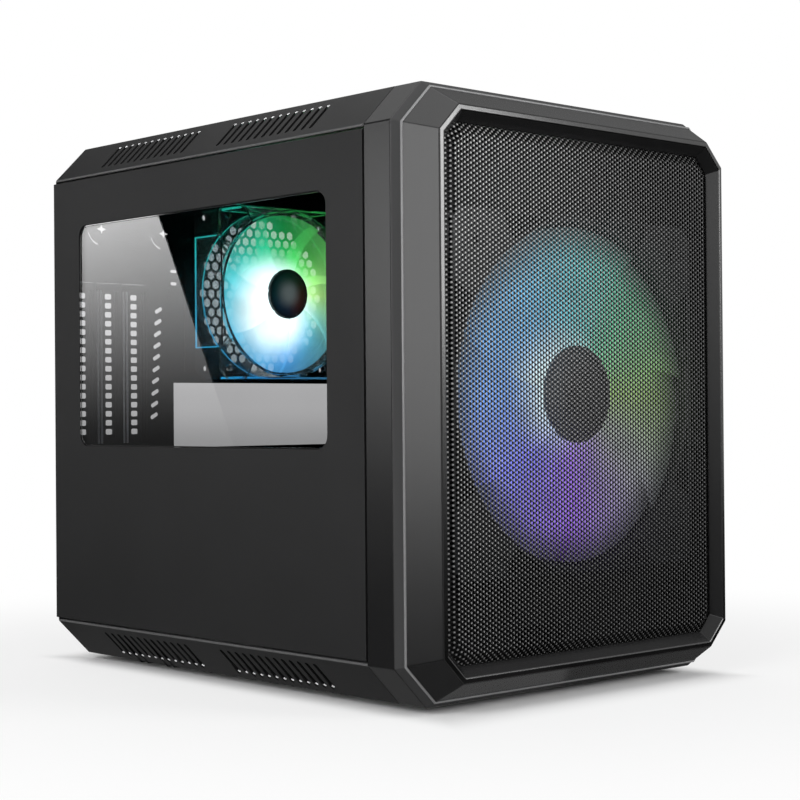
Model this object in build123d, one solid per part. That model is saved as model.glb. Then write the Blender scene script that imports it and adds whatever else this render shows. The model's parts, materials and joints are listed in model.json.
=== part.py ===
"""Cube shaped PC case for a micro ATX board, with an octagonal body and two lit fans.

The body is an octagonal tube lying along Y. The moulded front faces -Y, the acrylic window is
on the -X side, and the rubber feet stand on Z = 0. Sizes are in millimetres.
"""

from build123d import *
from math import cos, hypot, pi, radians, sin, sqrt, tan
import os

os.makedirs("parts", exist_ok=True)

# Body
body_width = 267.4
body_height = 331.7
body_depth = 303.6
corner_leg = 22.8
corner_angle = 45.0
octagon_sides = 8
hexagon_sides = 6
sheet = 0.8
foot_height = 4.0

# Clearances
sheet_gap = 0.3
seam_gap = 1.1
blade_tip_gap = 1.2

# Folded edges of the covers
cover_hem = 1.0
cover_flange = 9.0
cover_setback = 3.0

# Slots across the sloping corners, in two groups
vent_slot_count = 13
vent_slot_pitch = 7.04
vent_slot_length = 20.5
vent_slot_width = 3.0
vent_group_front = 91.0
vent_group_rear = 92.6

# Intake under the power supply
floor_slot_count = 8
floor_slot_pitch = 9.0
floor_slot_length = 50.0
floor_slot_width = 4.0

# Side panels
panel_return = 7.0
panel_flange = 9.4
panel_travel = 14.0
window_front = 31.3
window_rear_margin = 29.3
window_low = 136.5
window_high = 277.4
window_corner = 8.0
window_lap = 8.0
window_thickness = 2.5
tape_thickness = 0.5
tape_inset = 1.5
tape_width = 5.0

# Thumbscrews
thumb_inset = 4.9
thumb_spread = 110.0
thumb_head_radius = 3.0
thumb_head_sides = 12
thumb_head_length = 2.6
thumb_shank_radius = 1.7
thumb_shank_length = 6.5

# Rear panel
rim_fold = 12.0
side_fold_inset = 10.0
side_fold_margin = 6.0
io_side_room = 14.15
io_slot_gap = 32.86
io_height = 44.45
io_bottom = 133.5

# Expansion slots
slot_count = 3
slot_pitch = 20.32
slot_margin = 21.0
slot_open_width = 12.4
slot_open_low = 138.5
slot_open_high = 240.5
cover_width = 18.4
cover_low = 133.0
ledge_z = 243.0
ledge_depth = 11.5
cover_tab_width = 17.0
cover_notch_width = 4.4
cover_notch_depth = 6.5
cover_hole_count = 16
cover_hole_pitch = 6.0
cover_hole_first = 145.0
cover_hole_width = 5.4
cover_hole_height = 3.7

# Leaning row of slots beside the expansion slots
lean_slot_count = 10
lean_slot_pitch = 8.0
lean_slot_length = 6.8
lean_slot_width = 2.8
lean_slot_tilt = 32.0
lean_row_margin = 80.5
lean_row_z = 191.3
lean_row_angle = 3.3

# Knock-outs for tubes, and two short slots below them
knockout_margins = (37.1, 87.1)
knockout_z = 279.9
knockout_star = 4.0
knockout_star_points = 4
knockout_star_waist = 1.5
knockout_radius = 10.6
knockout_cut = 1.0
knockout_arc = 60.0
knockout_arc_middle = 225.0
tie_slot_margin = 95.3
tie_slot_z = (254.5, 246.0)
tie_slot_length = 5.5
tie_slot_width = 2.2

# Power supply opening
psu_margin = 99.7
psu_z = 56.0
psu_width = 150.0
psu_depth = 140.0
psu_height = 86.0
psu_hole_x = 138.0
psu_hole_z = 64.0
psu_land = 7.0
psu_border = 5.0
psu_pad_width = 12.0

# Rear fan
rear_fan_shift = 0.875
rear_fan_z = 240.5
rear_fan_size = 120.0
rear_fan_depth = 30.0
rear_fan_holes = 105.0
rear_fan_hub = 17.4
rear_fan_blades = 7
vent_hex_flats = 13.2
vent_hex_pitch = 16.8
vent_radius = 50.0

# Front fan
front_fan_size = 200.0
front_fan_depth = 32.0
front_fan_hub = 27.5
front_fan_blades = 7

# Parts that both fans share in form
fan_wall = 2.5
fan_corner = 6.0
fan_hole_radius = 2.6
fan_strut_width = 4.0
fan_strut_depth = 4.0
fan_base_step = 2.0
fan_hub_gap = 0.3
blade_clear = 2.4
blade_thickness = 1.6
blade_pitch = 38.0
blade_camber = 0.16
shaft_radius = 1.5
shaft_bore = 2.0
hub_sides = 22
bore_sides = 40

# Front plate
front_plate = 1.0
fan_opening = 97.0
peg_count = 3
peg_spread = 110.0
peg_inset = 12.0
peg_width = 5.0
peg_height = 10.0
peg_reach = 9.0
peg_root = 10.0
cable_hole_width = 40.0
cable_hole_height = 18.0
cable_hole_z = 24.0

# Moulded front
bezel_wall = 2.5
band_depth = 20.6
shoulder_inset = 3.4
shoulder_depth = 25.6
lip_inset = 14.3
lip_depth = 43.0
rim_inset = 17.3
rim_depth = 43.5
recess_inset = 23.0
recess_depth = 37.2
seat_depth = 36.3
seat_inset = 13.2

# Perforated tray behind the moulded front
mesh_border = 9.0
mesh_step = 5.5
mesh_face_depth = 40.0
mesh_gap_count = (4, 6)
mesh_gap_size = 31.0
mesh_gap_pitch = (46.0, 42.0)

# Controls and sockets on top of the moulded front
control_y = 10.3
button_gap = 0.3
button_skirt = 1.2
button_skirt_height = 1.2
button_proud = 0.8
button_travel = 1.2
button_stem = 3.0
power_x = -44.0
power_length = 18.0
reset_x = -24.0
reset_length = 8.0
button_width = 8.0
lens_x = -11.0
lens_length = 5.0
lens_width = 2.0
usb_x = (8.0, 28.0)
usb_length = 14.5
usb_width = 7.2
usb_wall = 0.9
usb_tongue = 2.0
socket_depth = 10.0
jack_x = 46.0
jack_size = 8.0
jack_bore = 1.75
jack_collar = 6.6
board_drop = 13.5
board_thickness = 1.6
board_length = 112.0
board_width = 15.0
switch_size = 6.0
switch_height = 3.4

# Shelf for the mother board, with its standoffs
standoff_height = 6.35
standoff_flats = 5.0
standoff_bore = 1.6
board_hole_margin = 1.45
board_rear_margin = 12.2
board_hole_columns = 157.48
board_hole_near = 22.86
board_hole_mid = 154.94
board_hole_far = 227.33
tray_inset = 4.6
tray_fold = 12.0
tray_corner_step = 7.0
tray_hole_length = 70.0
tray_hole_width = 22.0
tray_hole_y = 32.0
tray_hole_x = 62.0

# Drive cage
cage_margin = 85.7
cage_front = 16.0
cage_depth = 112.0
bay_width = 102.4
bay_height = 27.0
bay_count = 2
cage_flange = 10.0
cage_slot_length = 12.0
cage_slot_width = 3.6
cage_slot_spread = 60.0
cage_slot_rise = 9.0

# Feet
foot_length = 22.0
foot_width = 16.0
foot_taper = 1.5
foot_side_margin = 62.0
foot_margin = 42.0

# Places worked out from the sizes above
half_width = body_width / 2
body_bottom = foot_height
body_top = body_bottom + body_height
body_mid = (body_bottom + body_top) / 2
side_low = body_bottom + corner_leg
side_top = body_top - corner_leg
liner_inset = sheet + sheet_gap
rear_reach = max(ledge_depth - liner_inset, thumb_head_length)
y_front = -(rim_depth + body_depth + rear_reach) / 2
y_seam = y_front + rim_depth
y_rear = y_seam + body_depth
y_wall_out = y_rear - liner_inset
y_wall_in = y_wall_out - sheet
y_cover_end = y_rear - cover_setback
y_plate_back = y_seam + front_plate
y_panel_front = y_plate_back + sheet_gap
vent_groups = (vent_group_front, body_depth - vent_group_rear)
window_rear = body_depth - window_rear_margin
slot_first = -half_width + slot_margin
io_left = slot_first + (slot_count - 1) * slot_pitch + io_slot_gap
io_width = half_width - io_side_room - io_left
lean_row_x = -half_width + lean_row_margin
tie_slot_x = -half_width + tie_slot_margin
psu_x = half_width - psu_margin
rear_fan_x = io_left + io_width / 2 - rear_fan_shift
cage_x = -half_width + cage_margin
foot_x = half_width - foot_side_margin
tray_top = body_bottom + io_bottom - standoff_height
tray_corner = panel_travel + sheet + sheet_gap + seam_gap
steel_floor = body_bottom + sheet


def block(x, y, z):
    """A box from three pairs of limits."""
    centre = [(low + high) / 2 for low, high in (x, y, z)]
    return Pos(*centre) * Box(x[1] - x[0], y[1] - y[0], z[1] - z[0])


def rod_z(x, y, radius, z_from, z_to):
    """A round bar along Z."""
    return Pos(x, y, (z_from + z_to) / 2) * Cylinder(radius, z_to - z_from)


def wall_plane(y):
    """The upright plane at y whose own x and y are X and Z."""
    return Plane(origin=(0, y, 0), x_dir=(1, 0, 0), z_dir=(0, -1, 0))


def push_y(sketch, y_from, y_to):
    """Extrude an outline drawn in X and Z from y_from to y_to."""
    return extrude(wall_plane(y_from) * sketch, amount=y_to - y_from, dir=(0, 1, 0))


def octagon_corners(inset, y):
    """The eight corners of the body's outline at y, moved inward by inset."""
    half = half_width - inset
    low = body_bottom + inset
    high = body_top - inset
    leg = corner_leg - inset * (1 - tan(pi / octagon_sides))
    outline = [
        (-half, low + leg),
        (-half + leg, low),
        (half - leg, low),
        (half, low + leg),
        (half, high - leg),
        (half - leg, high),
        (-half + leg, high),
        (-half, high - leg),
    ]
    return [(x, y, z) for x, z in outline]


def flat_face_of(corners):
    return make_face(Polyline(*corners, close=True)).face()


def octagon_taper(inset_from, y_from, inset_to, y_to):
    """A block between two outlines, with flat sloping faces."""
    near = octagon_corners(inset_from, y_from)
    far = octagon_corners(inset_to, y_to)
    faces = [flat_face_of(near), flat_face_of(far)]
    for index in range(len(near)):
        after = (index + 1) % len(near)
        faces.append(flat_face_of([near[index], near[after], far[after], far[index]]))
    return Solid(Shell(faces))


def octagon_bar(inset, y_from, y_to):
    return octagon_taper(inset, y_from, inset, y_to)


def octagon_tube(inset, wall, y_from, y_to):
    return octagon_bar(inset, y_from, y_to) - octagon_bar(inset + wall, y_from, y_to)


def both_sides(part):
    """The part with its mirror image on the other side of the body."""
    return part + mirror(part, about=Plane.YZ)


def turned_over(part):
    """The part mirrored top to bottom about the middle of the body."""
    return mirror(part, about=Plane(origin=(0, 0, body_mid), z_dir=(0, 0, 1)))


def beyond_sides(part):
    """What a folded rim keeps: the top, the bottom and the sloping corners."""
    middle = block(
        (-body_width, body_width),
        (y_front, y_rear),
        (side_low - sheet_gap, side_top + sheet_gap),
    )
    return part - middle


def corner_slots():
    """Cutters for the slots across the upper sloping corner on the -X side."""
    middle_x = -half_width + corner_leg / 2
    middle_z = body_top - corner_leg / 2
    cutters = []
    for group in vent_groups:
        for index in range(vent_slot_count):
            shift = (index - (vent_slot_count - 1) / 2) * vent_slot_pitch
            place = Pos(middle_x, y_seam + group + shift, middle_z) * Rot(0, -corner_angle, 0)
            cutters.append(place * Box(vent_slot_length, vent_slot_width, corner_leg / 2))
    return cutters


def folded_cover():
    """A bent sheet: flat top, sloping corners, a hem and a flange inward along each side."""
    hem_low = side_top - cover_hem
    above = block((-body_width, body_width), (y_front, y_rear), (hem_low, body_top + sheet))
    cover = octagon_tube(0, sheet, y_seam, y_cover_end) & above
    flange = block(
        (-half_width, -half_width + cover_flange),
        (y_panel_front, y_wall_in - sheet_gap),
        (hem_low, hem_low + sheet),
    )
    slots = corner_slots()
    cover = cover + both_sides(flange & octagon_bar(0, y_seam, y_cover_end))
    return cover - slots - [mirror(slot, about=Plane.YZ) for slot in slots]


def foot_places():
    rear_y = y_cover_end - foot_margin
    front_y = y_seam + foot_margin
    return [(x, y) for x in (-foot_x, foot_x) for y in (front_y, rear_y)]


def make_bottom_cover():
    cover = turned_over(folded_cover())
    for index in range(floor_slot_count):
        shift = (index - (floor_slot_count - 1) / 2) * floor_slot_pitch
        y = y_wall_in - psu_depth / 2 + shift
        cover -= block(
            (psu_x - floor_slot_length / 2, psu_x + floor_slot_length / 2),
            (y - floor_slot_width / 2, y + floor_slot_width / 2),
            (body_bottom - sheet, body_bottom + 2 * sheet),
        )
    return cover


def window_slab(margin, x_from, x_to):
    """The window's rounded outline, grown by margin, between two planes of X."""
    length = window_rear - window_front + 2 * margin
    height = window_high - window_low + 2 * margin
    outline = RectangleRounded(length, height, window_corner + margin)
    middle_y = y_seam + (window_front + window_rear) / 2
    middle_z = body_bottom + (window_low + window_high) / 2
    plane = Plane(origin=(x_from, middle_y, middle_z), x_dir=(0, 1, 0), z_dir=(1, 0, 0))
    return extrude(plane * outline, amount=x_to - x_from)


def thumb_places():
    """X and Z of the two thumbscrews of the left panel."""
    return [(-half_width + thumb_inset, body_mid + side * thumb_spread) for side in (-1, 1)]


def thumb_holes():
    """Square holes for the screws of the left panel, as a clip nut needs."""
    side = 2 * (thumb_shank_radius + sheet_gap)
    return [Pos(x, z) * Rectangle(side, side) for x, z in thumb_places()]


def side_sheet():
    """The left panel without its window: a sheet folded inward along all four edges."""
    z_low = side_low + cover_hem + seam_gap
    z_high = side_top - cover_hem - seam_gap
    outer = -half_width
    return_end = y_wall_in - panel_travel - seam_gap
    panel = block((outer, outer + sheet), (y_panel_front, y_rear), (z_low, z_high))
    panel += block(
        (outer, outer + panel_return), (y_panel_front, y_panel_front + sheet), (z_low, z_high)
    )
    for z in (z_low, z_high - sheet):
        panel += block(
            (outer, outer + panel_return), (y_panel_front, return_end), (z, z + sheet)
        )
    panel += block((outer, outer + panel_flange), (y_rear - sheet, y_rear), (z_low, z_high))
    return panel - [push_y(hole, y_rear - 2 * sheet, y_rear + sheet) for hole in thumb_holes()]


def make_left_side_panel():
    return side_sheet() - window_slab(0, -half_width - sheet, -half_width + 2 * sheet)


def make_right_side_panel():
    return mirror(side_sheet(), about=Plane.YZ)


def make_window_tape():
    """Four strips of double sided tape between the panel and the window."""
    inner_face = -half_width + sheet
    x = (inner_face, inner_face + tape_thickness)
    front = y_seam + window_front
    rear = y_seam + window_rear
    low = body_bottom + window_low
    high = body_bottom + window_high
    near = tape_inset
    far = tape_inset + tape_width
    return [
        block(x, (front - far, front - near), (low - far, high + far)),
        block(x, (rear + near, rear + far), (low - far, high + far)),
        block(x, (front - near, rear + near), (low - far, low - near)),
        block(x, (front - near, rear + near), (high + near, high + far)),
    ]


def make_side_window():
    taped_face = -half_width + sheet + tape_thickness
    return window_slab(window_lap, taped_face, taped_face + window_thickness)


def make_left_thumbscrews():
    """Captive screws: a twelve sided grip and a plain shank through the folded edge."""
    grip = RegularPolygon(thumb_head_radius, thumb_head_sides)
    core = RegularPolygon(thumb_shank_radius, thumb_head_sides)
    screws = []
    for x, z in thumb_places():
        head = push_y(Pos(x, z) * grip, y_rear, y_rear + thumb_head_length)
        shank = push_y(Pos(x, z) * core, y_rear - thumb_shank_length, y_rear)
        screws.append(head + shank)
    return screws


def hex_centres():
    """Centres of the hexagonal holes that fill a circle round the rear fan's axis."""
    row_pitch = vent_hex_pitch * sqrt(3) / 2
    reach = int(vent_radius / row_pitch) + 1
    centres = []
    for row in range(-reach, reach + 1):
        for column in range(-reach, reach + 1):
            x = (column + (row % 2) / 2) * vent_hex_pitch
            z = row * row_pitch
            if hypot(x, z) <= vent_radius:
                centres.append((rear_fan_x + x, body_bottom + rear_fan_z + z))
    return centres


def slot_places():
    return [slot_first + index * slot_pitch for index in range(slot_count)]


def four_corners(x, z, spacing_x, spacing_z):
    return [
        (x + a * spacing_x / 2, z + b * spacing_z / 2) for a in (-1, 1) for b in (-1, 1)
    ]


def star_outline():
    """A four pointed star with hollow sides."""
    points = []
    for index in range(2 * knockout_star_points):
        radius = knockout_star_waist if index % 2 else knockout_star
        angle = index * pi / knockout_star_points
        points.append((radius * cos(angle), radius * sin(angle)))
    return make_face(Polyline(*points, close=True))


def arc_outline(middle_angle):
    """A curved slot round a knock-out."""
    start = middle_angle - knockout_arc / 2
    outer = CenterArc((0, 0), knockout_radius + knockout_cut / 2, start, knockout_arc)
    inner = CenterArc((0, 0), knockout_radius - knockout_cut / 2, start, knockout_arc)
    ends = [Line(outer @ 0, inner @ 0), Line(outer @ 1, inner @ 1)]
    return make_face([outer, inner] + ends)


def rear_wall_outlines():
    """Every small hole of the rear wall, drawn in X and Z."""
    point_up = Rot(0, 0, 180 / hexagon_sides)
    hexagon = point_up * RegularPolygon(vent_hex_flats / sqrt(3), hexagon_sides)
    holes = [Pos(x, z) * hexagon for x, z in hex_centres()]
    for margin in knockout_margins:
        place = Pos(-half_width + margin, body_bottom + knockout_z)
        holes.append(place * star_outline())
        holes.append(place * arc_outline(knockout_arc_middle))
    for z in tie_slot_z:
        holes.append(Pos(tie_slot_x, body_bottom + z) * Rectangle(tie_slot_length, tie_slot_width))
    lean = Pos(lean_row_x, body_bottom + lean_row_z) * Rot(0, 0, -lean_row_angle)
    for index in range(lean_slot_count):
        shift = (index - (lean_slot_count - 1) / 2) * lean_slot_pitch
        slot = Rot(0, 0, lean_slot_tilt) * Rectangle(lean_slot_length, lean_slot_width)
        holes.append(lean * Pos(0, shift) * slot)
    for x, z in four_corners(rear_fan_x, body_bottom + rear_fan_z, rear_fan_holes, rear_fan_holes):
        holes.append(Pos(x, z) * RegularPolygon(fan_hole_radius, hexagon_sides))
    return holes


def rear_wall_openings():
    """Cutters for the board's sockets, the expansion slots and the power supply."""
    through = (y_wall_in - sheet, y_wall_out + sheet)
    io_z = body_bottom + io_bottom
    cutters = [block((io_left, io_left + io_width), through, (io_z, io_z + io_height))]
    for x in slot_places():
        half = slot_open_width / 2
        tall = (body_bottom + slot_open_low, body_bottom + slot_open_high)
        cutters.append(block((x - half, x + half), through, tall))
        half = cover_tab_width / 2 + sheet_gap
        tab_z = body_bottom + ledge_z
        cutters.append(block((x - half, x + half), through, (tab_z, tab_z + sheet + sheet_gap)))
    half_z = psu_height / 2 - psu_border
    half_x = psu_hole_x / 2 - psu_land
    centre_z = body_bottom + psu_z
    cutters.append(
        block((psu_x - half_x, psu_x + half_x), through, (centre_z - half_z, centre_z + half_z))
    )
    half_z = psu_hole_z / 2 - psu_land
    half_x = psu_width / 2 - psu_border
    cutters.append(
        block((psu_x - half_x, psu_x + half_x), through, (centre_z - half_z, centre_z + half_z))
    )
    return cutters


def slot_ledge():
    """The strip folded outward that the slot covers are screwed down on."""
    half = cover_tab_width / 2 + sheet
    top = body_bottom + ledge_z
    return block(
        (slot_places()[0] - half, slot_places()[-1] + half),
        (y_wall_out, y_wall_out + ledge_depth),
        (top - sheet, top),
    )


def side_fold(y_from, y_to):
    """The strip folded along Y on each side of the front and rear walls."""
    inner = -half_width + side_fold_inset
    strip = block(
        (inner, inner + sheet),
        (y_from, y_to),
        (side_low + side_fold_margin, side_top - side_fold_margin),
    )
    return both_sides(strip)


def make_rear_panel():
    panel = octagon_bar(liner_inset, y_wall_in, y_wall_out)
    panel += beyond_sides(octagon_tube(liner_inset, sheet, y_wall_in - rim_fold, y_wall_in))
    panel += side_fold(y_wall_in - rim_fold, y_wall_in)
    panel -= rear_wall_openings()
    panel += slot_ledge()
    through = (y_wall_in - sheet, y_wall_out + sheet)
    thumbs = [push_y(hole, *through) for hole in thumb_holes()]
    cutters = [push_y(hole, *through) for hole in rear_wall_outlines()]
    return panel - cutters - thumbs - [mirror(hole, about=Plane.YZ) for hole in thumbs]


def make_slot_cover(x):
    """A pierced strip behind the slot, with a tab bent out over the ledge."""
    tab_z = body_bottom + ledge_z
    half = cover_width / 2
    cover = block(
        (x - half, x + half),
        (y_wall_in - sheet, y_wall_in),
        (body_bottom + cover_low, tab_z + sheet),
    )
    half = cover_tab_width / 2
    tab_end = y_wall_out + ledge_depth - sheet
    cover += block((x - half, x + half), (y_wall_in, tab_end), (tab_z, tab_z + sheet))
    half = cover_notch_width / 2
    notch_y = (tab_end - cover_notch_depth, tab_end)
    cover -= block((x - half, x + half), notch_y, (tab_z, tab_z + sheet))
    for index in range(cover_hole_count):
        z = body_bottom + cover_hole_first + index * cover_hole_pitch
        cover -= block(
            (x - cover_hole_width / 2, x + cover_hole_width / 2),
            (y_wall_in - 2 * sheet, y_wall_in + sheet),
            (z - cover_hole_height / 2, z + cover_hole_height / 2),
        )
    return cover


def peg_places():
    """Z of the pegs of the moulded front along each side."""
    middle = (peg_count - 1) / 2
    return [body_mid + (index - middle) * peg_spread for index in range(peg_count)]


def peg_block(z, y_from, y_to, grow):
    outer = -half_width + peg_inset
    return block(
        (outer - grow, outer + peg_width + grow),
        (y_from, y_to),
        (z - peg_height / 2 - grow, z + peg_height / 2 + grow),
    )


def flat_octagon(reach):
    """A regular octagon with flats to each side, reach away from its centre."""
    outline = RegularPolygon(reach, octagon_sides, major_radius=False)
    return Rot(0, 0, 180 / octagon_sides) * outline


def make_front_plate():
    plate = octagon_bar(liner_inset, y_seam, y_plate_back)
    rim = octagon_tube(liner_inset, sheet, y_plate_back, y_plate_back + rim_fold)
    plate += beyond_sides(rim)
    plate += side_fold(y_plate_back, y_plate_back + rim_fold)
    opening = Pos(0, body_mid) * flat_octagon(fan_opening)
    cable = Pos(0, body_bottom + cable_hole_z) * Rectangle(cable_hole_width, cable_hole_height)
    plate -= [push_y(hole, y_seam - sheet, y_plate_back + sheet) for hole in (opening, cable)]
    for z in peg_places():
        plate -= both_sides(peg_block(z, y_seam - sheet, y_plate_back + sheet, sheet_gap))
    return plate


def control_outlines():
    """The openings in the top band of the moulded front, as centre x, length and width."""
    room = 2 * button_gap
    openings = [
        (power_x, power_length + room, button_width + room),
        (reset_x, reset_length + room, button_width + room),
        (lens_x, lens_length, lens_width),
    ]
    openings += [(x, usb_length, usb_width) for x in usb_x]
    openings.append((jack_x, jack_collar, jack_collar))
    return openings


def make_front_bezel():
    """A moulded frame: flush band, shoulder, sloping face, rim and a recess for the mesh."""
    outline = [
        (0, 0),
        (0, band_depth),
        (shoulder_inset, shoulder_depth),
        (lip_inset, lip_depth),
        (rim_inset, rim_depth),
    ]
    hollow = [(bezel_wall, 0), (bezel_wall, band_depth), (seat_inset, seat_depth)]
    bezel = octagon_bar(0, y_seam - band_depth, y_seam)
    for (inset_a, depth_a), (inset_b, depth_b) in zip(outline[1:], outline[2:]):
        bezel += octagon_taper(inset_a, y_seam - depth_a, inset_b, y_seam - depth_b)
    for (inset_a, depth_a), (inset_b, depth_b) in zip(hollow, hollow[1:]):
        bezel -= octagon_taper(inset_a, y_seam - depth_a, inset_b, y_seam - depth_b)
    bezel -= octagon_taper(rim_inset, y_seam - rim_depth, recess_inset, y_seam - recess_depth)
    bezel -= octagon_bar(recess_inset, y_seam - recess_depth, y_seam)
    middle = y_seam - control_y
    for x, length, width in control_outlines():
        bezel -= block(
            (x - length / 2, x + length / 2),
            (middle - width / 2, middle + width / 2),
            (body_top - 2 * bezel_wall, body_top + bezel_wall),
        )
    for z in peg_places():
        web = block(
            (-half_width + bezel_wall / 2, -half_width + peg_inset + peg_width),
            (y_seam - peg_root, y_seam),
            (z - peg_height / 2, z + peg_height / 2),
        )
        bezel += both_sides(web + peg_block(z, y_seam, y_seam + peg_reach, 0))
    return bezel


def mesh_gaps():
    """Diamond gaps in staggered rows over the flat face of the tray."""
    columns, rows = mesh_gap_count
    pitch_x, pitch_z = mesh_gap_pitch
    side = mesh_gap_size / sqrt(2)
    gaps = []
    for row in range(rows):
        for column in range(columns):
            stagger = (row % 2 - 0.5) * pitch_x / 2
            x = (column - (columns - 1) / 2) * pitch_x + stagger
            z = body_mid + (row - (rows - 1) / 2) * pitch_z
            gaps.append(Pos(x, z) * Rot(0, 0, corner_angle) * Rectangle(side, side))
    return gaps


def make_front_mesh():
    """A steel tray: a flat border seated behind the recess, a bent edge and a raised face."""
    y_seat = y_seam - seat_depth
    y_face = y_seam - mesh_face_depth
    bend_inset = recess_inset + sheet_gap
    face_inset = bend_inset + mesh_step
    tray = octagon_bar(recess_inset - mesh_border, y_seat, y_seat + sheet)
    tray += octagon_taper(bend_inset, y_seat, face_inset, y_face)
    tray -= octagon_taper(bend_inset + sheet, y_seat + sheet, face_inset + sheet, y_face + sheet)
    return tray - [push_y(gap, y_face - sheet, y_face + 2 * sheet) for gap in mesh_gaps()]


def fan_frame(size, depth, hub):
    """A square housing round a bore, with four struts that carry the motor's base.

    It is drawn round the Y axis from the intake at y = -depth to the outlet at y = 0.
    """
    bore = size / 2 - fan_wall
    corner = sqrt(2) * size / 2 - fan_corner
    cut = Rot(0, 0, corner_angle) * Rectangle(2 * corner, 2 * corner)
    opening = RegularPolygon(bore, bore_sides, major_radius=False)
    frame = push_y((Rectangle(size, size) & cut) - opening, -depth, 0)
    outline = flat_octagon(hub - fan_base_step)
    for angle in (-corner_angle, corner_angle):
        outline += Rot(0, 0, angle) * Rectangle(2 * bore + fan_wall, fan_strut_width)
    return frame + push_y(outline - Circle(shaft_bore), -fan_strut_depth, 0)


def blade_section(chord, camber):
    """A bent strip seen from the tip, with its low edge at the intake side."""
    rise = chord * sin(radians(blade_pitch)) / 2
    run = chord * cos(radians(blade_pitch)) / 2
    bow_y = -camber * cos(radians(blade_pitch))
    bow_z = camber * sin(radians(blade_pitch))
    low = Polyline(
        (-run, -rise),
        (-run / 3 + bow_z, -rise / 3 + bow_y),
        (run / 3 + bow_z, rise / 3 + bow_y),
        (run, rise),
    )
    high = Pos(0, blade_thickness) * low
    ends = [Line(low @ 0, high @ 0), Line(low @ 1, high @ 1)]
    return make_face([low, high] + ends)


def fan_rotor(size, depth, hub, blade_count):
    """A hub with bent blades that just clear the bore, and a shaft held in the motor's base."""
    back = -fan_strut_depth - fan_hub_gap
    rise = depth - fan_strut_depth - blade_clear - blade_thickness
    chord = rise / sin(radians(blade_pitch))
    run = chord * cos(radians(blade_pitch)) / 2
    tip = sqrt((size / 2 - fan_wall - blade_tip_gap) ** 2 - run**2)
    middle = (back - depth) / 2 - blade_thickness / 2
    section = blade_section(chord, chord * blade_camber)
    plane = Plane(origin=(hub / 2, middle, 0), x_dir=(0, 0, 1), z_dir=(1, 0, 0))
    blade = extrude(plane * section, amount=tip - hub / 2, dir=(1, 0, 0))
    rotor = push_y(RegularPolygon(hub, hub_sides), -depth, back)
    rotor += push_y(Circle(shaft_radius), back, -fan_hub_gap)
    for index in range(blade_count):
        rotor += Rot(0, index * 360 / blade_count, 0) * blade
    return rotor


def at_front_fan(part):
    return Pos(0, y_seam, body_mid) * part


def at_rear_fan(part):
    return Pos(rear_fan_x, y_wall_in, body_bottom + rear_fan_z) * part


def make_motherboard_tray():
    half = half_width - tray_inset
    y_limits = (y_plate_back, y_wall_in)
    tray = block((-half, half), y_limits, (tray_top - sheet, tray_top))
    tray += both_sides(block((-half, -half + sheet), y_limits, (tray_top - tray_fold, tray_top)))
    upright = (tray_top - 2 * tray_fold, tray_top + sheet)
    for y in ((y_plate_back, y_plate_back + tray_corner), (y_wall_in - tray_corner, y_wall_in)):
        tray -= both_sides(block((-half - sheet, -half + tray_corner_step), y, upright))
    middle = y_seam + tray_hole_y
    for x in (-tray_hole_x, tray_hole_x):
        tray -= block(
            (x - tray_hole_length / 2, x + tray_hole_length / 2),
            (middle - tray_hole_width / 2, middle + tray_hole_width / 2),
            upright,
        )
    return tray


def standoff_places():
    """Board holes: two columns of three, the first hole of one column further forward."""
    near_column = io_left + io_width + board_hole_margin
    far_column = near_column - board_hole_columns
    rear_row = y_wall_in - board_rear_margin
    near = [(near_column, rear_row - y) for y in (board_hole_near, board_hole_mid, board_hole_far)]
    far = [(far_column, rear_row - y) for y in (0, board_hole_mid, board_hole_far)]
    return near + far


def make_board_standoffs():
    posts = []
    for x, y in standoff_places():
        outline = RegularPolygon(standoff_flats / sqrt(3), 6) - Circle(standoff_bore)
        posts.append(extrude(Pos(x, y, tray_top) * outline, amount=standoff_height))
    return posts


def make_drive_cage():
    """One folded sheet: two walls, a roof between the bays, and flanges on the floor."""
    half = bay_width / 2
    y_limits = (y_seam + cage_front, y_seam + cage_front + cage_depth)
    top = steel_floor + bay_count * bay_height
    cage = block((cage_x - half - sheet, cage_x + half + sheet), y_limits, (top, top + sheet))
    shelf = steel_floor + bay_height
    leg = block((half, half + sheet), y_limits, (steel_floor, top + sheet))
    leg += block((half, half + sheet + cage_flange), y_limits, (steel_floor, steel_floor + sheet))
    leg += block((half - cage_flange, half), y_limits, (shelf, shelf + sheet))
    cage += Pos(cage_x, 0, 0) * both_sides(leg)
    middle = y_seam + cage_front + cage_depth / 2
    for bay in range(bay_count):
        z = steel_floor + bay * bay_height + cage_slot_rise
        for y in (middle - cage_slot_spread / 2, middle + cage_slot_spread / 2):
            cage -= block(
                (cage_x - bay_width, cage_x + bay_width),
                (y - cage_slot_length / 2, y + cage_slot_length / 2),
                (z - cage_slot_width / 2, z + cage_slot_width / 2),
            )
    return cage


def make_power_supply_pads():
    """Foam strips that the power supply lies on, as thick as the room below it."""
    half = psu_width / 2
    top = body_bottom + psu_z - psu_height / 2
    y_limits = (y_wall_in - psu_depth, y_wall_in - rim_fold - seam_gap)
    left = block((psu_x - half, psu_x - half + psu_pad_width), y_limits, (steel_floor, top))
    right = block((psu_x + half - psu_pad_width, psu_x + half), y_limits, (steel_floor, top))
    return [left, right]


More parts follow.
